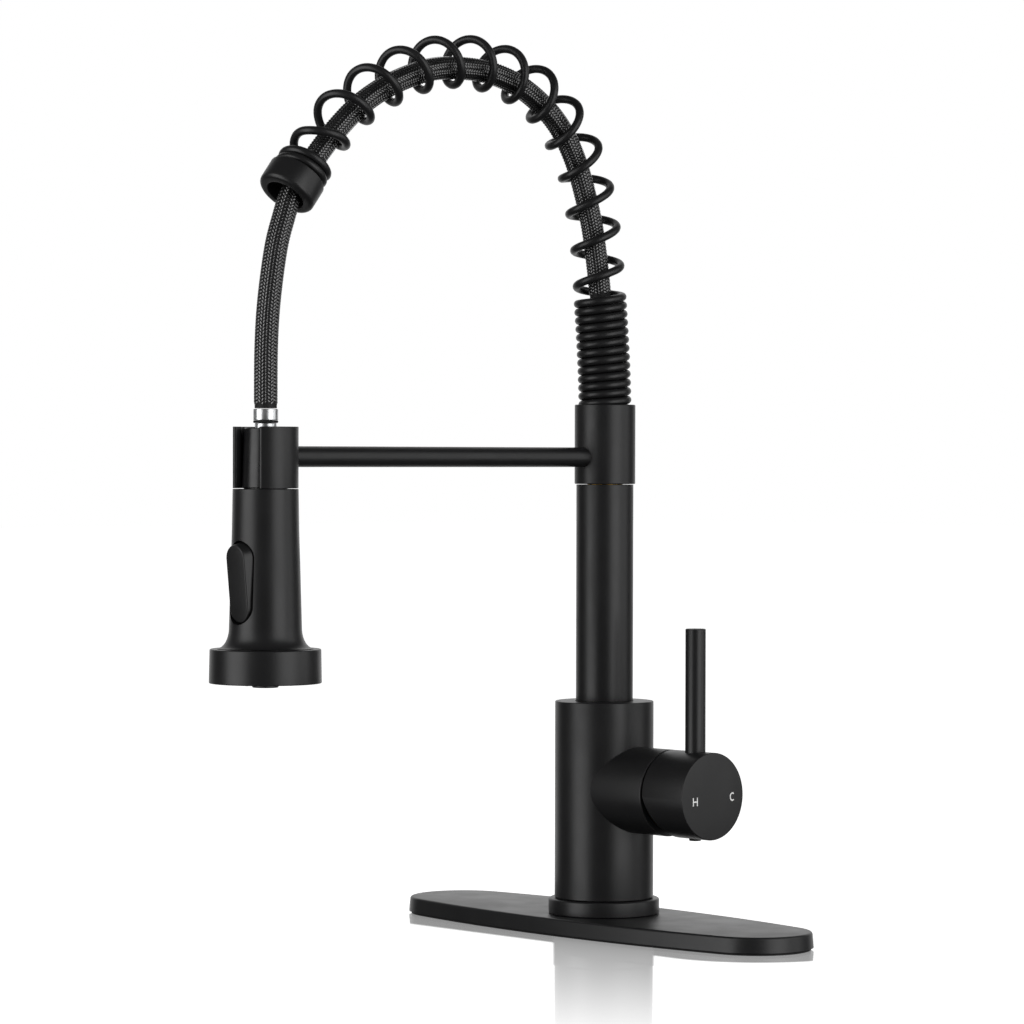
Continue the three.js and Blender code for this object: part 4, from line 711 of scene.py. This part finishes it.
dress(turned("hose_end_nipple", [
    (2, 232.7, 0), (5, 232.7, 0.3), (5, 247.8, 0.35), (2.9, 247.8, 0), (2.9, 254, 0), (2, 254, 0),
], CHROME, HEAD, SLIM_ROUND), "hose_nipple", "hose_end")
dress(turned("hose_end_seal", [
    (3.2, 247.9, 0), (5.7, 247.9, 0.4), (5.7, 249, 0.4), (3.2, 249, 0),
], RUBBER, HEAD, SLIM_ROUND), "hose_ring_seal", "hose_end")
dress(turned("crimped_ferrule", [
    (3.2, 249.1, 0), (5.7, 249.1, 0.35), (5.7, 254.3, 0.35), (3.2, 254.3, 0),
], CHROME, HEAD, SLIM_ROUND), "hose_ferrule", "hose_end")

dress(turned("spring_end_collar", [
    (8.6, -6, 0), (9.2, -6, 0), (9.2, -12, 0.25), (13.75, -12, 2.1), (13.75, 0, 0.5), (8.6, 0, 0.2),
], POWDER, COLLAR), "spring_collar", "spout")


# ---------------------------------------------------------------------------------------------
# Node groups that grow the spring, the braid and the nozzles
# ---------------------------------------------------------------------------------------------

SOCKETS = {int: "NodeSocketInt", float: "NodeSocketFloat", bpy.types.Object: "NodeSocketObject"}


class Grower:
    """A geometry node group with named inputs, and its result as a plain mesh."""

    def __init__(self, name, inputs):
        self.tree = bpy.data.node_groups.new(name, "GeometryNodeTree")
        face = self.tree.interface
        face.new_socket("Geometry", in_out="INPUT", socket_type="NodeSocketGeometry")
        self.values = {}
        for label, value in inputs.items():
            socket = face.new_socket(label, in_out="INPUT", socket_type=SOCKETS[type(value)])
            self.values[socket.identifier] = value
        face.new_socket("Geometry", in_out="OUTPUT", socket_type="NodeSocketGeometry")
        self.add = functools.partial(add_node, self.tree)
        self.given = self.add("NodeGroupInput").outputs

    def mesh(self, name, geometry, points=()):
        """Ends the group and runs it on a line through the points."""
        self.add("NodeGroupOutput", {"Geometry": geometry})
        line = bpy.data.meshes.new(name)
        edges = [(i, i + 1) for i in range(len(points) - 1)]
        line.from_pydata([tuple(p) for p in points], edges, [])
        piece = new_object(name, line)
        growth = piece.modifiers.new(name, "NODES")
        growth.node_group = self.tree
        for identifier, value in self.values.items():
            growth[identifier] = value
        plain_mesh(piece)
        return piece


def smooth_route(points, per_stretch=12):
    """Centripetal Catmull-Rom line through (y, z) points in millimetres, as points in metres."""
    knots = [Vector((0, y, z)) for y, z in points]
    knots = [2 * knots[0] - knots[1], *knots, 2 * knots[-1] - knots[-2]]
    line = []
    for p0, p1, p2, p3 in zip(knots, knots[1:], knots[2:], knots[3:]):
        t0, t1 = 0, math.sqrt((p1 - p0).length)
        t2 = t1 + math.sqrt((p2 - p1).length)
        t3 = t2 + math.sqrt((p3 - p2).length)
        for k in range(per_stretch):
            t = t1 + (t2 - t1) * k / per_stretch
            a1 = p0.lerp(p1, (t - t0) / (t1 - t0))
            a2 = p1.lerp(p2, (t - t1) / (t2 - t1))
            a3 = p2.lerp(p3, (t - t2) / (t3 - t2))
            b1 = a1.lerp(a2, (t - t0) / (t2 - t0))
            b2 = a2.lerp(a3, (t - t1) / (t3 - t1))
            line.append(b1.lerp(b2, (t - t1) / (t2 - t1)) * MM)
    return [*line, knots[-2] * MM]


def length_of(line):
    """Length of a line of points."""
    return sum((b - a).length for a, b in zip(line, line[1:]))


# The spring's middle line, from the seat in the sleeve over the arch to the collar
SPRING_ROUTE = smooth_route([
    (0, 246.6), (-0.1, 258), (-0.5, 270), (-1.3, 283), (-2.5, 298), (-4.1, 315.1), (-6.1, 334.7),
    (-9.3, 351.6), (-14.8, 370.8), (-25.2, 389.3), (-40.2, 404), (-59.1, 414), (-79.7, 419.2),
    (-101.7, 419.7), (-123.8, 415.4), (-144.1, 407.6), (-164, 396.1), (-180.3, 381.5),
    (-185.1, 374.7), (-190.3, 369.1), (-196.1, 361.9),
])
COIL_RADIUS, SPRING_WIRE = 11.05, 2.0
DENSE_TURNS, OPEN_TURNS, CLOSED_TURNS, RAMP_TURNS = 15.26, 14, 1.44, 0.58
DENSE_PITCH, CLOSED_PITCH = 4.164, 4.15
OPEN_GROWTH, OPEN_BULGE = 0.2, 0.34
SPRING_STEPS = 48  # of one turn


def smooth_step(value, low, high):
    """Rises from 0 to 1 between two values, as the Map Range node's smooth step does."""
    share = min(max((value - low) / (high - low), 0), 1)
    return share * share * (3 - 2 * share)


def open_pitch():
    """Mean pitch of the open coils with which the turns fill the route."""
    fixed = shared = 0.0
    count = round((DENSE_TURNS + OPEN_TURNS + CLOSED_TURNS) * SPRING_STEPS)
    for i in range(count):
        turn = (i + 0.5) / SPRING_STEPS
        place = (turn - DENSE_TURNS) / OPEN_TURNS - 0.5
        rise = smooth_step(turn, DENSE_TURNS, DENSE_TURNS + RAMP_TURNS)
        fall = smooth_step(turn, DENSE_TURNS + OPEN_TURNS - RAMP_TURNS, DENSE_TURNS + OPEN_TURNS)
        fixed += (DENSE_PITCH * (1 - rise) + CLOSED_PITCH * fall) / SPRING_STEPS
        shared += (1 + OPEN_GROWTH * place - OPEN_BULGE * place ** 2) * (rise - fall) / SPRING_STEPS
    return (length_of(SPRING_ROUTE) / MM - fixed) / shared


def ring_place(add, at, angle, radius):
    """Place at this angle and distance round a point of a route that lies in the Y-Z plane."""
    side = (1.0, 0.0, 0.0)
    outward = add("ShaderNodeVectorMath", {0: side, 1: at["Tangent"]}, operation="CROSS_PRODUCT")
    cosine = add("ShaderNodeMath", {0: angle}, operation="COSINE")
    sine = add("ShaderNodeMath", {0: angle}, operation="SINE")
    turned_out = add("ShaderNodeVectorMath", {0: outward, "Scale": cosine}, operation="SCALE")
    turned_side = add("ShaderNodeVectorMath", {0: side, "Scale": sine}, operation="SCALE")
    radial = add("ShaderNodeVectorMath", {0: turned_out, 1: turned_side}, operation="ADD")
    reach = add("ShaderNodeVectorMath", {0: radial, "Scale": radius}, operation="SCALE")
    return add("ShaderNodeVectorMath", {0: at["Position"], 1: reach}, operation="ADD")


def grow_spring():
    """Wound wire: points step round the route by an angle and along it by the pitch of their
    turn, which is dense on the column, open over the arch and closed at the collar."""
    opened = DENSE_TURNS + OPEN_TURNS
    grower = Grower("coil_spring", {
        "Points": round((opened + CLOSED_TURNS) * SPRING_STEPS) + 1,
        "Steps": float(SPRING_STEPS), "Coil Radius": COIL_RADIUS * MM,
        "Wire Radius": SPRING_WIRE * MM, "Dense Pitch": DENSE_PITCH * MM,
        "Open Pitch": open_pitch() * MM, "Closed Pitch": CLOSED_PITCH * MM,
        "Opens From": DENSE_TURNS, "Opens To": DENSE_TURNS + RAMP_TURNS,
        "Closes From": opened - RAMP_TURNS, "Closes To": opened,
        "Open Middle": DENSE_TURNS + OPEN_TURNS / 2, "Open Turns": float(OPEN_TURNS),
        "Growth": OPEN_GROWTH, "Bulge": OPEN_BULGE,
    })
    given, add = grower.given, grower.add
    route = add("GeometryNodeMeshToCurve", {"Mesh": given["Geometry"]})
    line = add("GeometryNodeMeshLine", {"Count": given["Points"]})
    index = add("GeometryNodeInputIndex")
    half_on = add("ShaderNodeMath", {0: index, 1: 0.5}, operation="ADD")
    turn = add("ShaderNodeMath", {0: half_on, 1: given["Steps"]}, operation="DIVIDE")

    # Pitch of the turn: dense, then open with its growth and bulge, then closed
    past = add("ShaderNodeMath", {0: turn, 1: given["Open Middle"]}, operation="SUBTRACT")
    place = add("ShaderNodeMath", {0: past, 1: given["Open Turns"]}, operation="DIVIDE")
    grown = add("ShaderNodeMath", {0: given["Growth"], 1: place, 2: 1.0}, operation="MULTIPLY_ADD")
    squared = add("ShaderNodeMath", {0: place, 1: place}, operation="MULTIPLY")
    bulge = add("ShaderNodeMath", {0: given["Bulge"], 1: squared}, operation="MULTIPLY")
    swell = add("ShaderNodeMath", {0: grown, 1: bulge}, operation="SUBTRACT")
    stretched = add("ShaderNodeMath", {0: given["Open Pitch"], 1: swell}, operation="MULTIPLY")
    risen = add("ShaderNodeMapRange", {
        "Value": turn, "From Min": given["Opens From"], "From Max": given["Opens To"],
        "To Min": given["Dense Pitch"], "To Max": stretched,
    }, interpolation_type="SMOOTHSTEP")
    pitch = add("ShaderNodeMapRange", {
        "Value": turn, "From Min": given["Closes From"], "From Max": given["Closes To"],
        "To Min": risen, "To Max": given["Closed Pitch"],
    }, interpolation_type="SMOOTHSTEP")
    advance = add("ShaderNodeMath", {0: pitch, 1: given["Steps"]}, operation="DIVIDE")
    along = add("GeometryNodeAccumulateField", {"Value": advance}).outputs["Trailing"]

    # Each point's place, on a circle round the route
    at = add("GeometryNodeSampleCurve", {"Curves": route, "Length": along},
             mode="LENGTH", use_all_curves=True).outputs
    share = add("ShaderNodeMath", {0: index, 1: given["Steps"]}, operation="DIVIDE")
    angle = add("ShaderNodeMath", {0: share, 1: 2 * math.pi}, operation="MULTIPLY")
    wound = add("GeometryNodeSetPosition", {
        "Geometry": line, "Position": ring_place(add, at, angle, given["Coil Radius"]),
    })
    wire = add("GeometryNodeMeshToCurve", {"Mesh": wound})
    section = add("GeometryNodeCurvePrimitiveCircle", {
        "Resolution": 14, "Radius": given["Wire Radius"],
    })
    skin = add("GeometryNodeCurveToMesh", {
        "Curve": wire, "Profile Curve": section, "Fill Caps": True,
    })
    whole = add("GeometryNodeRealizeInstances", {"Geometry": skin})
    painted = add("GeometryNodeSetMaterial", {"Geometry": whole, "Material": POWDER})
    return grower.mesh("wound_spring", painted, SPRING_ROUTE)


def settle(piece, node, body, sharp=40):
    """Shades a grown piece, which is in metres already, and puts it in its node's place."""
    clean = bmesh.new()
    clean.from_mesh(piece.data)
    bmesh.ops.recalc_face_normals(clean, faces=clean.faces)
    clean.to_mesh(piece.data)
    clean.free()
    shade(piece, sharp)
    if body:
        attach(piece, body)
    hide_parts(node)
    return piece


settle(grow_spring(), "spout_spring", "spout", sharp=60)

# The hose's middle line, from its nut in the sleeve through the spring to the ferrule
HOSE_ROUTE = smooth_route([
    (0, 248.1), (0, 258), (-0.6, 275.5), (-1.7, 293), (-3.3, 310.4), (-5.8, 327.8), (-9.1, 344.9),
    (-14.3, 361.7), (-21.1, 377.9), (-31.3, 392.6), (-45.1, 403.9), (-61, 411.9), (-78.2, 416.1),
    (-95.6, 416.9), (-113.1, 415.4), (-129.9, 410.6), (-146, 403.7), (-161, 394.5),
    (-174.4, 382.9), (-186.4, 370.2), (-196.7, 358.9), (-201.9, 350.4), (-205.3, 341.5),
    (-208.9, 330.8), (-212.2, 314.3), (-214.4, 297.8), (-215.4, 281.5), (-215.6, 266),
    (-215.6, 254.6),
])
HOSE_RADIUS = 5.4
CARRIERS = 16  # strands each way round
LAY = 25.6  # height of one turn of a strand
STRAND_RISE = 0.42
STRAND_WIDTH = 0.9


def strand_float(made):
    """The stretch of a strand that shows between two dips: a low closed lens, long in X."""
    half_length, steps = 1.45, 4
    sunk, taper, rounding = 0.12, 0.12, 0.45
    rows = []
    for k in range(steps + 1):
        share = k / steps * 2 - 1
        lift = STRAND_RISE * (1 - share ** 4) - sunk
        width = STRAND_WIDTH / 2 * (1 - taper * share ** 2)
        edge = lift - (lift + 0.2) * rounding
        rows.append([made.verts.new((share * half_length, y, z))
                     for y, z in ((-width, edge), (0, lift), (width, edge))])
    for low, high in zip(rows, rows[1:]):
        for i in range(3):
            j = (i + 1) % 3
            made.faces.new((low[i], high[i], high[j], low[j]))
    made.faces.new(rows[0])
    made.faces.new(rows[-1][::-1])


def grow_hose():
    """Braided hose: in a braid that passes over two and under two, each strand shows as a short
    slanting stretch; the stretches stand in columns round the hose and lean left and right in
    turn."""
    strand = piece_of("strand", strand_float, STRAND)
    strand.data.transform(Matrix.Scale(MM, 4))
    across = strand.data.attributes.new("across", "FLOAT", "POINT")
    across.data.foreach_set("value", [v.co.y / (STRAND_WIDTH * MM) for v in strand.data.vertices])
    spacing = LAY / CARRIERS
    radius = HOSE_RADIUS - 0.2
    column = 2 * math.pi * radius / CARRIERS
    first = 66.0  # the braid starts where the open coils let it be seen
    rows = int((length_of(HOSE_ROUTE) / MM - first - 0.4) / spacing)
    grower = Grower("braided_hose", {
        "Strand": strand, "Strands": CARRIERS * rows, "Carriers": float(CARRIERS),
        "Radius": radius * MM, "Core Radius": (radius - 0.1) * MM, "Column Width": column * MM,
        "Row Spacing": spacing * MM, "First Row": first * MM,
        "Slant": math.atan2(spacing, column),
    })
    given, add = grower.given, grower.add
    route = add("GeometryNodeMeshToCurve", {"Mesh": given["Geometry"]})
    points = add("GeometryNodeMeshLine", {"Count": given["Strands"]})
    index = add("GeometryNodeInputIndex")

    # The strands' places on the hose's skin rolled out flat
    column = add("ShaderNodeMath", {0: index, 1: given["Carriers"]}, operation="MODULO")
    share = add("ShaderNodeMath", {0: index, 1: given["Carriers"]}, operation="DIVIDE")
    row = add("ShaderNodeMath", {0: share}, operation="FLOOR")
    odd = add("ShaderNodeMath", {0: column, 1: 2.0}, operation="MODULO")
    leaning = add("ShaderNodeMath", {0: odd, 1: -2.0, 2: 1.0}, operation="MULTIPLY_ADD")
    middle = add("ShaderNodeMath", {0: column, 1: 0.25}, operation="ADD")
    sideways = add("ShaderNodeMath", {0: middle, 1: given["Column Width"]}, operation="MULTIPLY")
    shifted = add("ShaderNodeMath", {0: leaning, 1: 0.25, 2: row}, operation="MULTIPLY_ADD")
    upward = add("ShaderNodeMath", {0: shifted, 1: given["Row Spacing"], 2: given["First Row"]},
                 operation="MULTIPLY_ADD")
    spot = add("ShaderNodeCombineXYZ", {"X": sideways, "Y": upward})
    points = add("GeometryNodeSetPosition", {"Geometry": points, "Position": spot})
    slant = add("ShaderNodeMath", {0: leaning, 1: given["Slant"]}, operation="MULTIPLY")
    turn = add("ShaderNodeCombineXYZ", {"Z": slant})
    source = add("GeometryNodeObjectInfo", {"Object": given["Strand"]}).outputs["Geometry"]
    flat = add("GeometryNodeInstanceOnPoints", {
        "Points": points, "Instance": source, "Rotation": turn,
    })
    flat = add("GeometryNodeRealizeInstances", {"Geometry": flat})

    # The flat skin laid round the route
    where = add("ShaderNodeSeparateXYZ", {0: add("GeometryNodeInputPosition")}).outputs
    at = add("GeometryNodeSampleCurve", {"Curves": route, "Length": where["Y"]},
             mode="LENGTH", use_all_curves=True).outputs
    angle = add("ShaderNodeMath", {0: where["X"], 1: given["Radius"]}, operation="DIVIDE")
    reach = add("ShaderNodeMath", {0: where["Z"], 1: given["Radius"]}, operation="ADD")
    braid = add("GeometryNodeSetPosition", {
        "Geometry": flat, "Position": ring_place(add, at, angle, reach),
    })
    section = add("GeometryNodeCurvePrimitiveCircle", {
        "Resolution": 32, "Radius": given["Core Radius"],
    })
    core = add("GeometryNodeCurveToMesh", {
        "Curve": route, "Profile Curve": section, "Fill Caps": True,
    })
    core = add("GeometryNodeRealizeInstances", {"Geometry": core})
    core = add("GeometryNodeSetMaterial", {"Geometry": core, "Material": GROUND})
    braid = add("GeometryNodeSetMaterial", {"Geometry": braid, "Material": STRAND})
    both = add("GeometryNodeJoinGeometry", {0: core})
    grower.tree.links.new(braid.outputs[0], both.inputs[0])
    piece = grower.mesh("braided_spray_hose", both, HOSE_ROUTE)
    bpy.data.objects.remove(strand)
    return piece


hose = settle(grow_hose(), "spray_hose", None, sharp=75)
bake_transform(hose)


FACE_BACK = 131.5  # lower side of the rubber plate that carries the nozzles


def grow_nozzles():
    """Rings of short rubber nozzles under the spray face."""
    tip, foot = 129.1, 132.0
    nozzle = turned("nozzle", [
        (0, tip + 0.6, 0), (0.34, tip + 0.6, 0), (0.42, tip, 0), (0.63, tip, 0.08),
        (0.9, FACE_BACK, 0), (0.9, foot, 0), (0, foot, 0),
    ], RUBBER, sides=16)
    nozzle.data.transform(Matrix.Scale(MM, 4))
    grower = Grower("nozzle_rings", {
        "Nozzle": nozzle, "Outer Count": 16, "Outer Radius": 17.8 * MM,
        "Inner Count": 10, "Inner Radius": 12 * MM,
    })
    given, add = grower.given, grower.add
    source = add("GeometryNodeObjectInfo", {"Object": given["Nozzle"]}).outputs["Geometry"]
    rings = add("GeometryNodeJoinGeometry")
    for label in ("Outer", "Inner"):
        circle = add("GeometryNodeMeshCircle", {
            "Vertices": given[label + " Count"], "Radius": given[label + " Radius"],
        })
        ring = add("GeometryNodeInstanceOnPoints", {"Points": circle, "Instance": source})
        grower.tree.links.new(ring.outputs[0], rings.inputs[0])
    whole_set = add("GeometryNodeRealizeInstances", {"Geometry": rings})
    painted = add("GeometryNodeSetMaterial", {"Geometry": whole_set, "Material": RUBBER})
    piece = grower.mesh("nozzle_rings", painted)
    bpy.data.objects.remove(nozzle)
    piece.data.transform(Matrix.Translation((0, -REACH * MM, 0)))
    return piece


settle(grow_nozzles(), "nozzle_plate", "spray_head")
dress(turned("nozzle_backing", [
    (6.3, FACE_BACK, 0), (23.1, FACE_BACK, 0), (23.1, FACE_BACK + 3, 0), (6.3, FACE_BACK + 3, 0),
], RUBBER, HEAD), "nozzle_plate", "spray_head")
dress(turned("aerator_insert", [
    (0, 130.6, 0), (4.6, 130.6, 0), (4.6, 127.6, 0.2), (6, 127.6, 0.4), (6, 134.8, 0),
    (8, 134.8, 0), (8, 137.2, 0), (0, 137.2, 0),
], DARK_ACETAL, HEAD, SLIM_ROUND), "aerator", "spray_head")


def aerator_grid(made):
    """Crossing bars in the aerator's mouth, one layer on the other."""
    half, gap, mouth, layer = 0.14, 1.1, 4.55, 0.6
    for crossed, level in ((False, 129.3), (True, 128.7)):
        for i in range(-3, 4):
            middle = i * gap
            reach = math.sqrt(mouth ** 2 - middle ** 2)
            corners = [(-reach, middle - half), (reach, middle - half),
                       (reach, middle + half), (-reach, middle + half)]
            if crossed:
                corners = [(y, -x) for x, y in corners]
            loft(made, [[(x, y, z) for x, y in corners] for z in (level, level + layer)])


dress(piece_of("aerator_screen", aerator_grid, DARK_ACETAL, HEAD),
      "aerator", "spray_head")


# ---------------------------------------------------------------------------------------------
# Floor, world, lamps and camera
# ---------------------------------------------------------------------------------------------

def make_floor():
    """White polished table: white to the camera, with the object's soft shadow, and a mirror that
    the photograph shows in two ways: in the strip of the picture below the column it fades out
    over 0.4 m, and beside the strip it ends a few millimetres past the deck plate."""
    material = bpy.data.materials.new("white_polished_table")
    add = functools.partial(add_node, blank_tree(material))
    place = add("ShaderNodeTexCoord").outputs["Object"]

    # Distance from the line between the middles of the plate's round ends
    across = add("ShaderNodeSeparateXYZ", {0: place}).outputs
    along = add("ShaderNodeMath", {0: across["X"]}, operation="ABSOLUTE")
    past_ends = add("ShaderNodeMath", {0: along, 1: 0.1}, operation="SUBTRACT")
    past_ends = add("ShaderNodeMath", {0: past_ends, 1: 0.0}, operation="MAXIMUM")
    flat = add("ShaderNodeCombineXYZ", {"X": past_ends, "Y": across["Y"]})
    away = add("ShaderNodeVectorMath", {0: flat}, operation="LENGTH").outputs["Value"]

    # Distance from the middle of the strip, as the tangent of an angle seen from the camera
    strip_middle, strip_edge, strip_end = 0.0232, 0.0122, 0.013
    seen = add("ShaderNodeVectorMath", {0: place, 1: CAMERA_PLACE}, operation="SUBTRACT")
    sideways = add("ShaderNodeVectorMath", {0: seen, 1: (0.6824, 0.731, 0)},
                   operation="DOT_PRODUCT").outputs["Value"]
    onward = add("ShaderNodeVectorMath", {0: seen, 1: (-0.7309, 0.6823, 0)},
                 operation="DOT_PRODUCT").outputs["Value"]
    aside = add("ShaderNodeMath", {0: sideways, 1: onward}, operation="DIVIDE")
    aside = add("ShaderNodeMath", {0: aside, 1: strip_middle}, operation="SUBTRACT")
    aside = add("ShaderNodeMath", {0: aside}, operation="ABSOLUTE")

    fading = add("ShaderNodeMapRange", {
        "Value": away, "From Min": 0.04, "From Max": 0.42, "To Min": 0.73, "To Max": 0.0,
    })
    short = add("ShaderNodeMapRange", {
        "Value": away, "From Min": 0.051, "From Max": 0.056, "To Min": 0.75, "To Max": 0.0,
    })
    mirror = add("ShaderNodeMapRange", {
        "Value": aside, "From Min": strip_edge, "From Max": strip_end,
        "To Min": fading, "To Max": short,
    })
    glow = add("ShaderNodeEmission", {"Color": (1, 1, 1, 1), "Strength": 0.75})
    matte = add("ShaderNodeBsdfDiffuse", {"Color": linear("#f4f4f4")})
    white = add("ShaderNodeAddShader", {0: glow, 1: matte})
    gloss = add("ShaderNodeBsdfGlossy", {"Color": (1, 1, 1, 1), "Roughness": 0.0})
    both = add("ShaderNodeMixShader", {0: mirror, 1: white, 2: gloss})
    add("ShaderNodeOutputMaterial", {"Surface": both})
    mesh = bpy.data.meshes.new("table")
    half = 9  # metres
    mesh.from_pydata([(-half, -half, 0), (half, -half, 0), (half, half, 0), (-half, half, 0)],
                     [], [(0, 1, 2, 3)])
    mesh.materials.append(material)
    floor = new_object("table", mesh)
    floor.visible_diffuse = False
    floor.visible_glossy = False


def make_world():
    """White to the camera and in the table's mirror; to gloss and glass white behind the object
    and dim elsewhere."""
    world = bpy.data.worlds.new("studio")
    bpy.context.scene.world = world
    add = functools.partial(add_node, blank_tree(world))
    towards = add("ShaderNodeTexCoord").outputs["Generated"]
    backdrop = (-0.731, 0.682, 0.05)
    facing = add("ShaderNodeVectorMath", {0: towards, 1: backdrop},
                 operation="DOT_PRODUCT").outputs["Value"]
    behind = add("ShaderNodeMapRange", {
        "Value": facing, "From Min": 0.55, "From Max": 0.97, "To Min": 0.0, "To Max": 1.0,
    }, interpolation_type="SMOOTHSTEP")
    path = add("ShaderNodeLightPath").outputs
    clear = add("ShaderNodeMath", {
        0: path["Is Glossy Ray"], 1: path["Is Transmission Ray"],
    }, operation="MAXIMUM")
    seen = add("ShaderNodeMath", {0: behind, 1: clear}, operation="MULTIPLY")
    mirrored = add("ShaderNodeMath", {0: seen, 1: path["Is Singular Ray"]}, operation="MAXIMUM")
    shown = add("ShaderNodeMath", {0: mirrored, 1: path["Is Camera Ray"]}, operation="MAXIMUM")
    level = add("ShaderNodeMapRange", {"Value": clear, "To Min": 0.45, "To Max": 0.07})
    room = add("ShaderNodeBackground", {"Strength": level})
    white = add("ShaderNodeBackground", {"Color": (1, 1, 1, 1), "Strength": 1.0})
    both = add("ShaderNodeMixShader", {0: shown, 1: room, 2: white})
    add("ShaderNodeOutputWorld", {"Surface": both})


def softbox(name, direction, distance, size, radiance):
    """Large flat lamp that faces the middle of the faucet, in metres; the radiance is that of its
    face, where 1 is the backdrop's white."""
    lamp = bpy.data.lights.new(name, "AREA")
    lamp.shape = "RECTANGLE"
    lamp.size, lamp.size_y = size
    lamp.energy = radiance * math.pi * size[0] * size[1]
    holder = new_object(name, lamp)
    middle = Vector((0, -0.1, 0.22))
    toward = Vector(direction).normalized()
    holder.location = middle + toward * distance
    holder.rotation_euler = toward.to_track_quat("Z", "Y").to_euler()


def make_camera():
    """Long lens at the photograph's place."""
    camera = bpy.data.cameras.new("camera")
    camera.sensor_width = 36
    camera.lens = 140.625
    camera.clip_start, camera.clip_end = 0.1, 100
    holder = new_object("camera", camera)
    right, up = Vector(CAMERA_RIGHT), Vector(CAMERA_UP)
    back = right.cross(up)
    holder.matrix_world = Matrix.Translation(CAMERA_PLACE) \
        @ Matrix((right, up, back)).transposed().to_4x4()
    bpy.context.scene.camera = holder


make_camera()
make_floor()
make_world()
softbox("left_softbox", (-0.20, -0.98, 0.05), 1.5, (1.1, 1.7), 2.3)
softbox("right_softbox", (0.99, 0.06, 0.05), 1.5, (1.1, 1.7), 1.9)
softbox("far_softbox", (0.71, 0.69, 0.17), 1.6, (0.8, 1.5), 1.0)
bpy.context.scene.view_settings.view_transform = "Standard"
